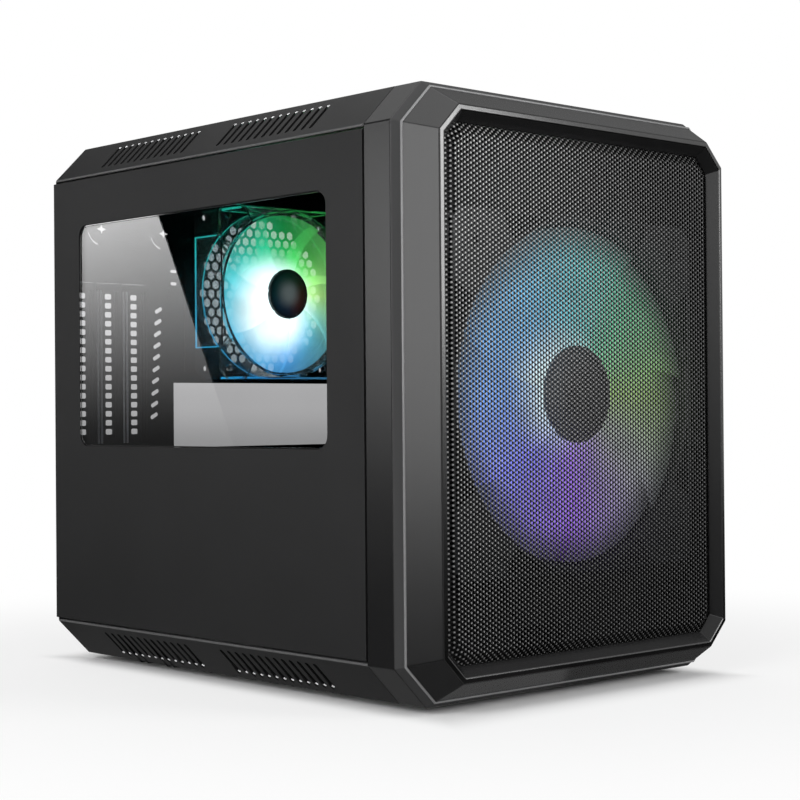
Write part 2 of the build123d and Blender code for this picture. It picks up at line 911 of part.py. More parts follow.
def make_button(x, length):
    """A cap in the top band, a skirt that holds it in, and a stem over its switch."""
    y = y_seam - control_y
    ceiling = body_top - bezel_wall
    skirt_top = ceiling - sheet_gap
    skirt_low = skirt_top - button_skirt_height
    stem_low = io_board_top() + switch_height + button_travel + sheet_gap
    half = button_width / 2
    cap = block(
        (x - length / 2, x + length / 2), (y - half, y + half), (skirt_low, body_top + button_proud)
    )
    skirt = block(
        (x - length / 2 - button_skirt, x + length / 2 + button_skirt),
        (y - half - button_skirt, y + half + button_skirt),
        (skirt_low, skirt_top),
    )
    stem = block(
        (x - button_stem / 2, x + button_stem / 2),
        (y - button_stem / 2, y + button_stem / 2),
        (stem_low, skirt_low),
    )
    return cap + skirt + stem


def io_board_top():
    return body_top - bezel_wall - board_drop + board_thickness


def make_io_board():
    y = y_seam - control_y
    top = io_board_top()
    middle = (power_x + jack_x) / 2
    return block(
        (middle - board_length / 2, middle + board_length / 2),
        (y - board_width / 2, y + board_width / 2),
        (top - board_thickness, top),
    )


def make_switch(x):
    y = y_seam - control_y
    half = switch_size / 2
    top = io_board_top()
    return block((x - half, x + half), (y - half, y + half), (top, top + switch_height))


def make_usb_port(x):
    """A metal shell standing in the top band, with a tongue in its socket."""
    y = y_seam - control_y
    shell_x = (x - usb_length / 2 + sheet_gap, x + usb_length / 2 - sheet_gap)
    shell_y = (y - usb_width / 2 + sheet_gap, y + usb_width / 2 - sheet_gap)
    top = body_top
    inner_x = (shell_x[0] + usb_wall, shell_x[1] - usb_wall)
    inner_y = (shell_y[0] + usb_wall, shell_y[1] - usb_wall)
    port = block(shell_x, shell_y, (io_board_top(), top))
    port -= block(inner_x, inner_y, (top - socket_depth, top + sheet))
    tongue_x = (inner_x[0] + usb_wall, inner_x[1] - usb_wall)
    tongue_y = (inner_y[1] - usb_tongue, inner_y[1])
    return port + block(tongue_x, tongue_y, (top - socket_depth, top - usb_wall))


def make_audio_jack():
    """A plain socket whose collar fills its opening."""
    y = y_seam - control_y
    ceiling = body_top - bezel_wall
    half = jack_size / 2
    jack = block((jack_x - half, jack_x + half), (y - half, y + half), (io_board_top(), ceiling))
    half = jack_collar / 2 - sheet_gap
    jack += block((jack_x - half, jack_x + half), (y - half, y + half), (ceiling, body_top))
    return jack - rod_z(jack_x, y, jack_bore, body_top - socket_depth, body_top + sheet)


def make_power_lens():
    y = y_seam - control_y
    return block(
        (lens_x - lens_length / 2, lens_x + lens_length / 2),
        (y - lens_width / 2, y + lens_width / 2),
        (io_board_top(), body_top),
    )


def make_feet():
    """Rubber blocks that narrow towards the floor."""
    feet = []
    for x, y in foot_places():
        top = Pos(x, y, body_bottom) * Rectangle(foot_length, foot_width)
        low = Pos(x, y, 0) * Rectangle(foot_length - 2 * foot_taper, foot_width - 2 * foot_taper)
        feet.append(loft([low, top], ruled=True))
    return feet


def save(name, part):
    """Write one node, which is one solid or a group of separate like solids."""
    items = part if isinstance(part, list) else [part]
    solids = [solid for item in items for solid in item.solids()]
    shape = solids[0] if len(solids) == 1 else Compound(children=solids)
    shape.label = name
    export_step(shape, f"parts/{name}.step")


save("top_cover", folded_cover())
save("bottom_cover", make_bottom_cover())
save("left_side_panel", make_left_side_panel())
save("right_side_panel", make_right_side_panel())
save("window_tape", make_window_tape())
save("side_window", make_side_window())
save("left_thumbscrews", make_left_thumbscrews())
save("right_thumbscrews", [mirror(screw, about=Plane.YZ) for screw in make_left_thumbscrews()])
save("rear_panel", make_rear_panel())
for number, place in enumerate(slot_places(), start=1):
    save(f"slot_cover_{number}", make_slot_cover(place))
save("front_plate", make_front_plate())
save("front_bezel", make_front_bezel())
save("front_mesh", make_front_mesh())
save("front_fan_frame", at_front_fan(
    fan_frame(front_fan_size, front_fan_depth, front_fan_hub)))
save("front_fan_rotor", at_front_fan(
    fan_rotor(front_fan_size, front_fan_depth, front_fan_hub, front_fan_blades)))
save("rear_fan_frame", at_rear_fan(
    fan_frame(rear_fan_size, rear_fan_depth, rear_fan_hub)))
save("rear_fan_rotor", at_rear_fan(
    fan_rotor(rear_fan_size, rear_fan_depth, rear_fan_hub, rear_fan_blades)))
save("motherboard_tray", make_motherboard_tray())
save("board_standoffs", make_board_standoffs())
save("drive_cage", make_drive_cage())
save("power_supply_pads", make_power_supply_pads())
save("power_button", make_button(power_x, power_length))
save("reset_button", make_button(reset_x, reset_length))
save("io_board", make_io_board())
save("power_switch", make_switch(power_x))
save("reset_switch", make_switch(reset_x))
for number, place in enumerate(usb_x, start=1):
    save(f"usb_port_{number}", make_usb_port(place))
save("audio_jack", make_audio_jack())
save("power_lens", make_power_lens())
save("rubber_feet", make_feet())
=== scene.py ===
"""Looks of a cube shaped micro ATX PC case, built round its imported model.

Metres, Z up. The moulded front faces -Y and the window is on the -X side.
"""

import json
import math
from types import SimpleNamespace

import bmesh
import bpy
from mathutils import Matrix, Vector


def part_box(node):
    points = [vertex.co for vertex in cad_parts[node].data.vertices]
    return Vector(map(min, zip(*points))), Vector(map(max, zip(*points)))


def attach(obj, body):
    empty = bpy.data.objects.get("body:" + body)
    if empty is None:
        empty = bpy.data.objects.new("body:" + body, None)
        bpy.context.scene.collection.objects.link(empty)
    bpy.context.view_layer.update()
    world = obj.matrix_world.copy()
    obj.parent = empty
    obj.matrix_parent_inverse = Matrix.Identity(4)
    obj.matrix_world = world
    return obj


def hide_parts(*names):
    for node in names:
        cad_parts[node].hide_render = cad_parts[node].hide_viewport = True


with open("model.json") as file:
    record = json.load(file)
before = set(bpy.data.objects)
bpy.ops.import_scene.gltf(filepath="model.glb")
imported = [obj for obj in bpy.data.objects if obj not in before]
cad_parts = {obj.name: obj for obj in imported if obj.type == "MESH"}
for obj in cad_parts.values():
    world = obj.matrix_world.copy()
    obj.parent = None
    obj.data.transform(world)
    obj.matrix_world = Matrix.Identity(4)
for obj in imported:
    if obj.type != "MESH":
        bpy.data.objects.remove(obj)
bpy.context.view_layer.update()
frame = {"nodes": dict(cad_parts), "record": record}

MM = 0.001
bodies = frame["record"]["behaviour"]["bodies"]
body_of_node = {node: body for body, nodes in bodies.items() for node in nodes}

# Sizes of the body
corner_leg = 22.8 * MM
sheet = 0.8 * MM
fold_radius = 1.5 * MM
lip_radius = 1.0 * MM
hem_radius = 0.4 * MM
cover_flange = 9.0 * MM
cover_hem = 1.0 * MM
liner_inset = 1.1 * MM
rim_fold = 12.0 * MM
side_fold_inset = 10.0 * MM
side_fold_margin = 6.0 * MM

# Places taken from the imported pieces
top_low, top_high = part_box("top_cover")
half_width = top_high.x
body_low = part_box("bottom_cover")[0].z
body_top = top_high.z
body_mid = (body_low + body_top) / 2
y_seam = top_low.y
y_cover_end = top_high.y
y_wall_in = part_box("slot_cover_1")[0].y + sheet
y_wall_out = y_wall_in + sheet
side_low = body_low + corner_leg
side_top = body_top - corner_leg

# Slots across the sloping corners, and the cloth behind them
vent_slot_count = 13
vent_slot_pitch = 7.04 * MM
vent_slot_length = 20.5 * MM
vent_slot_width = 3.0 * MM
vent_groups = (91.0 * MM, 211.0 * MM)
slot_end_share = 0.98
slot_end_plate_width = 0.35 * MM
filter_margin = 1.5 * MM
filter_depth = 2.8 * MM
filter_thickness = 0.4 * MM

# Intake slots under the power supply
floor_slot_count = 8
floor_slot_pitch = 9.0 * MM
floor_slot_length = 50.0 * MM
floor_slot_width = 4.0 * MM
floor_slots_y = y_wall_in - 70.0 * MM

# Opening for the window and the window's polished rim
window_y = (y_seam + 31.3 * MM, y_seam + 274.3 * MM)
window_z = (body_low + 136.5 * MM, body_low + 277.4 * MM)
window_corner = 8.0 * MM
window_rim_insets = (0.1 * MM, 0.8 * MM)
window_rim_depth = 1.1 * MM
window_rim_thickness = 0.36 * MM

# Rear wall. A size of three numbers is a width, a height and a corner radius
io_left = -39.2 * MM
io_width = 158.75 * MM
io_height = 44.45 * MM
io_bottom = body_low + 133.5 * MM
slot_first = -112.7 * MM
slot_pitch = 20.32 * MM
slot_open_width = 12.4 * MM
slot_open_low = body_low + 138.5 * MM
slot_open_high = body_low + 240.5 * MM
ledge_z = body_low + 243.0 * MM
ledge_depth = 11.5 * MM
tab_width = 17.0 * MM
tab_slit = 1.1 * MM
tab_gap = 0.3 * MM
lean_slot_count = 10
lean_slot_pitch = 8.0 * MM
lean_slot_length = 6.8 * MM
lean_slot_width = 2.8 * MM
lean_slot_tilt = math.radians(32.0)
lean_slot_end_share = 0.95
lean_row = (-53.2 * MM, body_low + 191.3 * MM)
lean_row_angle = math.radians(-3.3)
knockout_x = (-96.6 * MM, -46.6 * MM)
knockout_z = body_low + 279.9 * MM
knockout_star = 4.0 * MM
knockout_waist = 1.5 * MM
knockout_radius = 10.6 * MM
knockout_cut = 1.0 * MM
knockout_cut_middle = math.radians(225)
knockout_cut_reach = math.radians(30)
tie_slot_x = -38.4 * MM
tie_slot_z = (body_low + 254.5 * MM, body_low + 246.0 * MM)
tie_slot_size = (5.5 * MM, 2.2 * MM, 1.05 * MM)
psu_centre = (34.0 * MM, body_low + 56.0 * MM)
psu_wide = (70.0 * MM, 25.0 * MM)
psu_tall = (62.0 * MM, 38.0 * MM)
thumb_inset = 4.9 * MM
thumb_spread = 110.0 * MM
thumb_hole = 2.0 * MM
thumb_hole_corner = 0.4 * MM

# Ribs pressed into the rear wall, each by its place in X and its two ends in Z
wall_ribs = (
    (-29.0 * MM, body_low + 185.5 * MM, body_low + 261.6 * MM),
    (-42.5 * MM, body_low + 236.0 * MM, body_low + 243.5 * MM),
    (-61.0 * MM, body_low + 137.0 * MM, body_low + 241.0 * MM),
)
rib_root_half = 0.9 * MM
rib_crest_half = 0.35 * MM
rib_height = 0.8 * MM
rib_end_slope = 1.2 * MM

# Slot covers
cover_width = 18.4 * MM
cover_hole_count = 16
cover_hole_pitch = 6.0 * MM
cover_hole_first = body_low + 145.0 * MM
cover_hole_size = (5.4 * MM, 3.7 * MM, 0.9 * MM)
cover_ribs = (-8.3 * MM, -5.7 * MM)
cover_rib_margin = 4.0 * MM
notch_half = 2.2 * MM
notch_length = 13.0 * MM
notch_corner = 2.1 * MM
notch_lip = 3.0 * MM

# How far a welded or pressed piece reaches into the one it stands on
overlap = 0.1 * MM

# Vent at the rear fan
rear_fan_x = 39.3 * MM
rear_fan_z = body_low + 240.5 * MM
vent_flats = 5.7 * MM
vent_pitch = 7.35 * MM
vent_radius = 52.5 * MM

# Fans. Their y is measured from the face that is screwed on, and their front is at -depth
rear_fan = SimpleNamespace(
    name="rear", centre=Vector((rear_fan_x, y_wall_in, rear_fan_z)), half=60.0 * MM,
    depth=30.0 * MM, bore=57.0 * MM, flat_half=38.5 * MM, hub=17.4 * MM, tip=55.5 * MM,
    blade_depth=7.0 * MM, hole=2.3 * MM, hole_offset=52.5 * MM,
)
front_fan = SimpleNamespace(
    name="front", centre=Vector((0, y_seam, body_mid)), half=100.0 * MM,
    depth=32.0 * MM, bore=97.0 * MM, flat_half=62.0 * MM, hub=27.5 * MM, tip=95.0 * MM,
    blade_depth=8.0 * MM, hole=2.4 * MM, hole_offset=82.5 * MM,
)
blade_count = 7
blade_turn = math.radians(62)
blade_sweep = -0.3
blade_thickness = 1.4 * MM
blade_bow = 0.8 * MM
blade_front = 1.6 * MM
cap_thickness = 2.4 * MM
drum_back = -4.3 * MM
motor_base = 4.0 * MM

# Moulded front and its perforated tray
rim_depth = 42.9 * MM
band_depth = 20.6 * MM
shoulder_inset = 3.4 * MM
shoulder_depth = 25.6 * MM
ridge_radius = 0.7 * MM
ridge_inset = shoulder_inset + 0.1 * MM
ridge_depth = shoulder_depth + 0.2 * MM
tray_seat_depth = 36.3 * MM
tray_face_depth = 40.0 * MM
tray_bend_inset = 23.3 * MM
tray_face_inset = 28.8 * MM
tray_border_inset = 14.0 * MM
tray_border_width = 8.3 * MM
tray_hole_margin = 1.5 * MM
tray_hole_pitch = 2.65 * MM
tray_hole_flats = 2.02 * MM

# Camera of the photograph: place in mm, yaw, pitch and roll in degrees, focal length in widths
camera_place = (-762.54, -838.50, 160.27)
camera_angles = (42.913, 0.401, -0.464)
camera_focal = 1787.1 / 800

# Studio card that the window mirrors: its place and its slanted edge in Y and Z, the heights
# between which its light grows and its level, and the edges and levels of the patch beside it
card_x = -1.2
card_edge = ((1.567, 0.490), (1.366, 0.107))
card_glow = (0.109, 0.491, 5.5)
patch_edge = (1.12, 0.52)
patch_levels = (5.6, 6.0)
mat_glows = (0.24, 0.11)
world_level = 0.25


def link(name, mesh):
    obj = bpy.data.objects.new(name, mesh)
    bpy.context.scene.collection.objects.link(obj)
    return obj


def mesh_from(bm, name):
    mesh = bpy.data.meshes.new(name)
    bm.to_mesh(mesh)
    bm.free()
    return mesh


def smooth_below(obj, degrees):
    """Smooth shading, with the edges sharper than the angle kept crisp."""
    bm = bmesh.new()
    bm.from_mesh(obj.data)
    limit = math.radians(degrees)
    for face in bm.faces:
        face.smooth = True
    for edge in bm.edges:
        edge.smooth = len(edge.link_faces) == 2 and edge.calc_face_angle(0.0) < limit
    bm.to_mesh(obj.data)
    bm.free()


def bevel(obj, width, segments=2):
    """Rounds the edges that turn by more than 25 degrees."""
    modifier = obj.modifiers.new("rounded_edges", "BEVEL")
    modifier.width = width
    modifier.segments = segments
    modifier.limit_method = "ANGLE"
    modifier.angle_limit = math.radians(25)
    modifier.use_clamp_overlap = False
    modifier.harden_normals = True


def fit_out(obj, node, material, body=None):
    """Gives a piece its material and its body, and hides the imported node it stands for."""
    obj.data.materials.clear()
    obj.data.materials.append(material)
    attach(obj, body or body_of_node[node])
    if node:
        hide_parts(node)


def piece(name, bm, node, material, smooth=None, at=None):
    """Makes a piece of a bmesh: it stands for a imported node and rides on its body."""
    obj = link(name, mesh_from(bm, name))
    if smooth:
        smooth_below(obj, smooth)
    if at is not None:
        obj.location = at
    fit_out(obj, node, material)


def rounded_copy(node, material, width, segments=2):
    """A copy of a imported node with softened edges, in its place."""
    bm = bmesh.new()
    bm.from_mesh(frame["nodes"][node].data)
    bmesh.ops.remove_doubles(bm, verts=bm.verts, dist=1e-6)
    for face in bm.faces:
        face.smooth = True
    mesh = mesh_from(bm, node)
    for name in ("custom_normal", "sharp_edge", "sharp_face"):
        if name in mesh.attributes:
            mesh.attributes.remove(mesh.attributes[name])
    obj = link(f"{node}_body", mesh)
    bevel(obj, width, segments)
    fit_out(obj, node, material)


def paint(node, material):
    """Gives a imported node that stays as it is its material."""
    data = frame["nodes"][node].data
    data.materials.clear()
    data.materials.append(material)


def flat_mesh(loops, thickness):
    """A flat sheet round z = 0 from closed outlines; the inner ones are holes."""
    curve = bpy.data.curves.new("outline", "CURVE")
    curve.dimensions = "2D"
    curve.fill_mode = "BOTH" if thickness else "BACK"
    curve.extrude = thickness / 2
    for loop in loops:
        spline = curve.splines.new("POLY")
        spline.points.add(len(loop) - 1)
        for point, (a, b) in zip(spline.points, loop):
            point.co = (a, b, 0, 1)
        spline.use_cyclic_u = True
    holder = link("outline", curve)
    mesh = bpy.data.meshes.new_from_object(holder)
    bpy.data.objects.remove(holder)
    bpy.data.curves.remove(curve)
    bm = bmesh.new()
    bm.from_mesh(mesh)
    bpy.data.meshes.remove(mesh)
    bmesh.ops.remove_doubles(bm, verts=bm.verts, dist=1e-7)
    bmesh.ops.recalc_face_normals(bm, faces=bm.faces)
    return bm


def add_into(target, source, matrix=None):
    """Adds one bmesh to another, placed by a matrix, and frees it."""
    if matrix is not None:
        bmesh.ops.transform(source, matrix=matrix, verts=source.verts)
    mesh = mesh_from(source, "part")
    target.from_mesh(mesh)
    bpy.data.meshes.remove(mesh)


def bridge(bm, rings):
    """Joins closed rings of vertices, each to the next and the last to the first."""
    for a, b in zip(rings, rings[1:] + rings[:1]):
        for i in range(len(a)):
            j = (i + 1) % len(a)
            bm.faces.new((a[i], a[j], b[j], b[i]))


def upright(y):
    """Places a flat outline drawn in X and Z at y."""
    return Matrix(((1, 0, 0, 0), (0, 0, -1, y), (0, 1, 0, 0), (0, 0, 0, 1)))


def box_mesh(low, high):
    bm = bmesh.new()
    bmesh.ops.create_cube(bm, size=1.0)
    size = Vector(high) - Vector(low)
    centre = (Vector(high) + Vector(low)) / 2
    bmesh.ops.transform(
        bm, matrix=Matrix.Translation(centre) @ Matrix.Diagonal((*size, 1)), verts=bm.verts
    )
    return bm


def point_at(centre, radius, angle):
    return (centre[0] + radius * math.cos(angle), centre[1] + radius * math.sin(angle))


def arc_points(centre, radius, start, end, steps):
    angles = (start + (end - start) * i / steps for i in range(steps + 1))
    return [point_at(centre, radius, angle) for angle in angles]


def circle_loop(centre, radius, steps=24):
    return arc_points(centre, radius, 0, math.tau, steps)[:-1]


def rounded_loop(centre, width, height, radius, angle=0.0, steps=5):
    """A rectangle with round corners, turned by angle about its centre."""
    loop = []
    for quarter, (sx, sy) in enumerate(((1, 1), (-1, 1), (-1, -1), (1, -1))):
        corner = (sx * (width / 2 - radius), sy * (height / 2 - radius))
        start = quarter * math.pi / 2
        loop += arc_points(corner, radius, start, start + math.pi / 2, steps)
    c, s = math.cos(angle), math.sin(angle)
    return [(centre[0] + x * c - y * s, centre[1] + x * s + y * c) for x, y in loop]


def rectangle_loop(x_low, x_high, z_low, z_high):
    return [(x_low, z_low), (x_high, z_low), (x_high, z_high), (x_low, z_high)]


def octagon_loop(inset):
    """The body's outline in X and Z, moved inward by inset."""
    half = half_width - inset
    low = body_low + inset
    high = body_top - inset
    leg = corner_leg - inset * (1 - math.tan(math.pi / 8))
    return [
        (-half, low + leg), (-half + leg, low), (half - leg, low), (half, low + leg),
        (half, high - leg), (half - leg, high), (-half + leg, high), (-half, high - leg),
    ]


def inset_at(x, z):
    """How far a point lies inside the body's outline."""
    to_side = half_width - abs(x)
    to_end = (body_top - body_low) / 2 - abs(z - body_mid)
    to_corner = (to_side + to_end - corner_leg) / math.sqrt(2)
    return min(to_side, to_end, to_corner)


def filleted_path(points, radii, steps=4):
    """The points of an open path with each inner corner rounded by its own radius."""
    path = [Vector(points[0])]
    for before, corner, after, radius in zip(points, points[1:], points[2:], radii):
        corner = Vector(corner)
        a = (Vector(before) - corner).normalized()
        b = (Vector(after) - corner).normalized()
        half_angle = a.angle(b) / 2
        reach = radius / math.tan(half_angle)
        centre = corner + (a + b).normalized() * (radius / math.sin(half_angle))
        first = corner + a * reach - centre
        turn = first.angle_signed(corner + b * reach - centre)
        for i in range(steps + 1):
            path.append(centre + Matrix.Rotation(-turn * i / steps, 2) @ first)
    path.append(Vector(points[-1]))
    return path


def folded_sheet(name, points, radii, y_low, y_high, hole_loops):
    """A flat pattern with holes, folded along Y to follow a path drawn in X and Z.

    The pattern's own x runs along the path and its y is Y. hole_loops gets the path's lengths.
    """
    path = filleted_path(points, radii)
    lengths = [0.0]
    for a, b in zip(path, path[1:]):
        lengths.append(lengths[-1] + (b - a).length)
    outline = rectangle_loop(0, lengths[-1], y_low, y_high)
    bm = flat_mesh([outline] + hole_loops(path, lengths), 0)
    for length in lengths[1:-1]:
        bmesh.ops.bisect_plane(
            bm, geom=bm.verts[:] + bm.edges[:] + bm.faces[:], dist=1e-7,
            plane_co=(length, 0, 0), plane_no=(1, 0, 0),
        )
    for vertex in bm.verts:
        u = min(max(vertex.co.x, 0.0), lengths[-1])
        index = next(i for i in range(len(path) - 1) if u <= lengths[i + 1] + 1e-9)
        share = (u - lengths[index]) / (lengths[index + 1] - lengths[index])
        place = path[index].lerp(path[index + 1], share)
        vertex.co = (place.x, vertex.co.y, place.y)
    obj = link(name, mesh_from(bm, name))
    solid = obj.modifiers.new("thickness", "SOLIDIFY")
    solid.thickness = sheet
    solid.offset = -1
    solid.use_even_offset = True
    return obj


# Materials


def rgba(colour):
    """A colour as a socket takes it. A single number is a grey."""
    return (colour, colour, colour, 1) if isinstance(colour, float) else (*colour, 1)


class Graph:
    """Short ways to add nodes to a material or a world and to join them."""

    def __init__(self, tree):
        self.nodes = tree.nodes
        self.links = tree.links

    def put(self, socket, value):
        """Links a node's output to a socket, or sets the socket to a plain value."""
        if isinstance(value, bpy.types.NodeSocket):
            self.links.new(value, socket)
        else:
            socket.default_value = value

    def add(self, kind, inputs, output=0, **settings):
        """Adds a node with its settings and inputs, and gives one of its outputs."""
        node = self.nodes.new(f"ShaderNode{kind}")
        for name, value in settings.items():
            setattr(node, name, value)
        for name, value in inputs.items():
            self.put(node.inputs[name], value)
        return node.outputs[output]

    def place(self):
        return self.add("TexCoord", {}, "Object")

    def axes(self):
        """X, Y and Z in the object's own frame."""
        split = self.nodes.new("ShaderNodeSeparateXYZ")
        self.put(split.inputs["Vector"], self.place())
        return split.outputs

    def maths(self, operation, first, second=0.0):
        return self.add("Math", {0: first, 1: second}, operation=operation)

    def product(self, first, *others):
        for other in others:
            first = self.maths("MULTIPLY", first, other)
        return first

    def ramp(self, value, start, end, low=0.0, high=1.0, smooth=True):
        """Maps start to low and end to high."""
        ends = {"From Min": start, "From Max": end, "To Min": low, "To Max": high}
        kind = "SMOOTHSTEP" if smooth else "LINEAR"
        return self.add("MapRange", {"Value": value, **ends}, interpolation_type=kind)

    def noise(self, scale, detail=3.0, stretch=None):
        source = self.place()
        if stretch:
            source = self.add("Mapping", {"Vector": source, "Scale": stretch})
        return self.add("TexNoise", {"Vector": source, "Scale": scale, "Detail": detail}, "Fac")

    def spread(self, value, low, high):
        """Maps a noise value to a range."""
        return self.ramp(value, 0.3, 0.7, low, high, smooth=False)

    def mix(self, factor, first, second):
        """Blends two colours, each a node's output or a plain colour."""
        first, second = (
            colour if isinstance(colour, bpy.types.NodeSocket) else rgba(colour)
            for colour in (first, second)
        )
        return self.add("Mix", {0: factor, 6: first, 7: second}, 2, data_type="RGBA")

    def dress(self, inputs):
        """Sets or links inputs of the main shader."""
        for name, value in inputs.items():
            self.put(self.nodes["Principled BSDF"].inputs[name], value)

    def source(self, name):
        """The output that feeds an input of the main shader."""
        return self.nodes["Principled BSDF"].inputs[name].links[0].from_socket

    def show_either(self, factor, other):
        """Shows the main shader where the factor is 0 and the other shader where it is 1."""
        main = self.nodes["Principled BSDF"].outputs["BSDF"]
        self.show(self.add("MixShader", {0: factor, 1: main, 2: other}))

    def show(self, shader):
        self.put(self.nodes["Material Output"].inputs["Surface"], shader)


def new_material(name):
    material = bpy.data.materials.new(name)
    material.use_nodes = True
    return material, Graph(material.node_tree)


def finish_material(name, dark, light, rough, grain, bump, metallic=0.0, specular=0.5, stretch=None):
    """Paint, plastic or metal: clouded colour, uneven roughness and a fine grain."""
    material, graph = new_material(name)
    cloud = graph.spread(graph.noise(14.0, 4.0, stretch), 0.0, 1.0)
    fine = graph.noise(grain, 2.0, stretch)
    graph.dress({
        "Base Color": graph.mix(cloud, dark, light),
        "Roughness": graph.spread(fine, *rough),
        "Metallic": metallic,
        "Specular IOR Level": specular,
        "Normal": graph.add("Bump", {"Strength": bump, "Distance": 0.1 * MM, "Height": fine}),
    })
    return material


def bezel_material():
    """Moulded plastic, matt on the shoulder and rubbed bright on the rim round the recess."""
    material = finish_material(
        "moulded_black", (0.0075, 0.0075, 0.0077), (0.0095, 0.0095, 0.0097), (0.21, 0.27), 2600.0,
        0.15, specular=0.25,
    )
    graph = Graph(material.node_tree)
    depth = graph.maths("SUBTRACT", y_seam, graph.axes()["Y"])
    rim = graph.ramp(depth, rim_depth, rim_depth + 0.15 * MM, smooth=False)
    matt = graph.product(
        graph.ramp(depth, band_depth + 0.1 * MM, band_depth + 0.7 * MM),
        graph.ramp(depth, shoulder_depth, shoulder_depth + 0.2 * MM, 1.0, 0.0),
    )
    plain = graph.mix(matt, graph.source("Base Color"), (0.026, 0.026, 0.0265))
    bright = graph.mix(graph.noise(900.0, 2.0, (1.0, 1.0, 0.15)), 0.05, 0.07)
    graph.dress({
        "Base Color": graph.mix(rim, plain, bright),
        "Metallic": rim,
        "Roughness": graph.add("Mix", {"Factor": matt, "A": graph.source("Roughness"), "B": 0.75}),
    })
    return material


def tray_material():
    """Black paint with painted highlights: every second knot between the tray's holes is painted light
    grey, strongest towards the upper left.
    """
    material = finish_material("tray_paint", 0.003, 0.005, (0.28, 0.36), 2000.0, 0.2, specular=0.2)
    graph = Graph(material.node_tree)
    place = graph.axes()
    height = graph.maths("SUBTRACT", place["Z"], body_mid)
    across = graph.product(place["X"], math.tau / (math.sqrt(3) * tray_hole_pitch))
    upward = graph.product(height, math.tau / tray_hole_pitch)
    cross = graph.product(graph.maths("SINE", across), graph.maths("COSINE", upward), 2.0)
    wave = graph.maths("SUBTRACT", graph.maths("SINE", graph.product(across, 2.0)), cross)
    lean = graph.maths("SUBTRACT", height, place["X"])
    rise = graph.maths("ADD", height, place["X"])
    # Painted highlight on the knots, faded by lean and rise so that it is strongest towards the upper
    # left.
    painted_highlight = graph.product(
        graph.ramp(wave, 0.95, 1.85),
        graph.product(
            graph.ramp(lean, -0.16, 0.24, 0.2, 1.0), graph.ramp(rise, 0.04, 0.22, 1.0, 0.45)
        ),
    )
    graph.dress({"Base Color": graph.mix(painted_highlight, graph.source("Base Color"), 0.47)})
    return material


def cover_material():
    """The body's coat with a painted highlight: lighter along the narrow hem that meets the side
    panels.
    """
    material = finish_material("cover_coat", *coat_finish, specular=0.2)
    graph = Graph(material.node_tree)
    height = graph.maths("ABSOLUTE", graph.maths("SUBTRACT", graph.axes()["Z"], body_mid))
    edge = side_top - body_mid
    # Painted highlight: the hem's bend is painted lighter.
    hem = graph.ramp(height, edge + 0.5 * MM, edge + 0.1 * MM)
    graph.dress({"Base Color": graph.mix(hem, graph.source("Base Color"), (0.075, 0.075, 0.076))})
    return material


def acrylic_material():
    """Tinted clear sheet. Lamps shine through it, dimmed by the tint."""
    material, graph = new_material("smoked_acrylic")
    tint = graph.mix(graph.noise(12.0), (0.33, 0.33, 0.335), (0.36, 0.36, 0.365))
    graph.dress({"Base Color": tint, "Roughness": 0.0, "IOR": 1.49, "Transmission Weight": 1.0})
    dimmed = graph.add("BsdfTransparent", {"Color": (0.5, 0.5, 0.51, 1)})
    graph.show_either(graph.add("LightPath", {}, "Is Shadow Ray"), dimmed)
    return material


def glow_material(name, tip, core, core_shift, turns, strength, alpha, rim_fade=1.0):
    """Milky plastic lit from within: colours by direction, whiter and more solid near its core.

    turns are colours evenly spaced round the Y axis, from -X by way of -Z. strength is the
    light at the tip and near the axis, alpha how solid the tip is.
    """
    material, graph = new_material(name)
    place = graph.axes()
    turn = graph.ramp(
        graph.maths("ARCTAN2", place["Z"], place["X"]), -math.pi, math.pi, smooth=False
    )
    wheel = graph.nodes.new("ShaderNodeValToRGB")
    graph.put(wheel.inputs["Fac"], turn)
    stops = wheel.color_ramp.elements
    for stop in stops:
        stop.color = rgba(turns[0])
    for index, colour in enumerate(turns[1:], start=1):
        stops.new(index / len(turns)).color = rgba(colour)

    def distance_from(x, z):
        offset = graph.add(
            "VectorMath", {0: graph.place(), 1: (1, 0, 1), 2: (-x, 0, -z)}, operation="MULTIPLY_ADD"
        )
        return graph.add("VectorMath", {0: offset}, "Value", operation="LENGTH")

    from_core = distance_from(*core_shift)
    from_axis = distance_from(0, 0)
    whiteness = graph.ramp(from_core, *core, 1.0, 0.0)
    graph.dress({
        "Base Color": (0.10, 0.12, 0.12, 1),
        "Roughness": 0.3,
        "Specular IOR Level": 0.2,
        "Alpha": graph.ramp(from_core, core[0], tip, 1.0, alpha),
        "Emission Color": graph.mix(whiteness, wheel.outputs["Color"], (0.8, 1.0, 1.0)),
        "Emission Strength": graph.product(
            graph.ramp(from_axis, core[0], tip, strength[1], strength[0]),
            graph.ramp(from_axis, tip * 0.74, tip, 1.0, rim_fade),
            graph.spread(graph.noise(45.0), 0.85, 1.15),
        ),
    })
    return material


coat_finish = ((0.0095, 0.0095, 0.0097), (0.0115, 0.0115, 0.0118), (0.45, 0.55), 3200.0, 0.25)
coat = finish_material("black_coat", *coat_finish, specular=0.2)
# A darker, less glossy copy of the black coat for the pieces inside the body: painted shade.
inside_coat_painted_shade = finish_material(
    "black_coat_inside", (0.004, 0.004, 0.0043), (0.006, 0.006, 0.0064), (0.5, 0.6), 3200.0, 0.25,
    specular=0.08,
)
wall_coat = finish_material(
    "wall_coat", (0.006, 0.006, 0.0064), (0.009, 0.009, 0.0095), (0.35, 0.45), 3200.0, 0.2,
    specular=0.25,
)
# Near white for the ribs on the slot covers' -X side: a painted highlight.
worn_coat = finish_material(
    "worn_coat", (0.72, 0.72, 0.73), (0.8, 0.8, 0.81), (0.35, 0.45), 3200.0, 0.2
)
cover_coat = cover_material()
tray_paint = tray_material()
moulded = bezel_material()
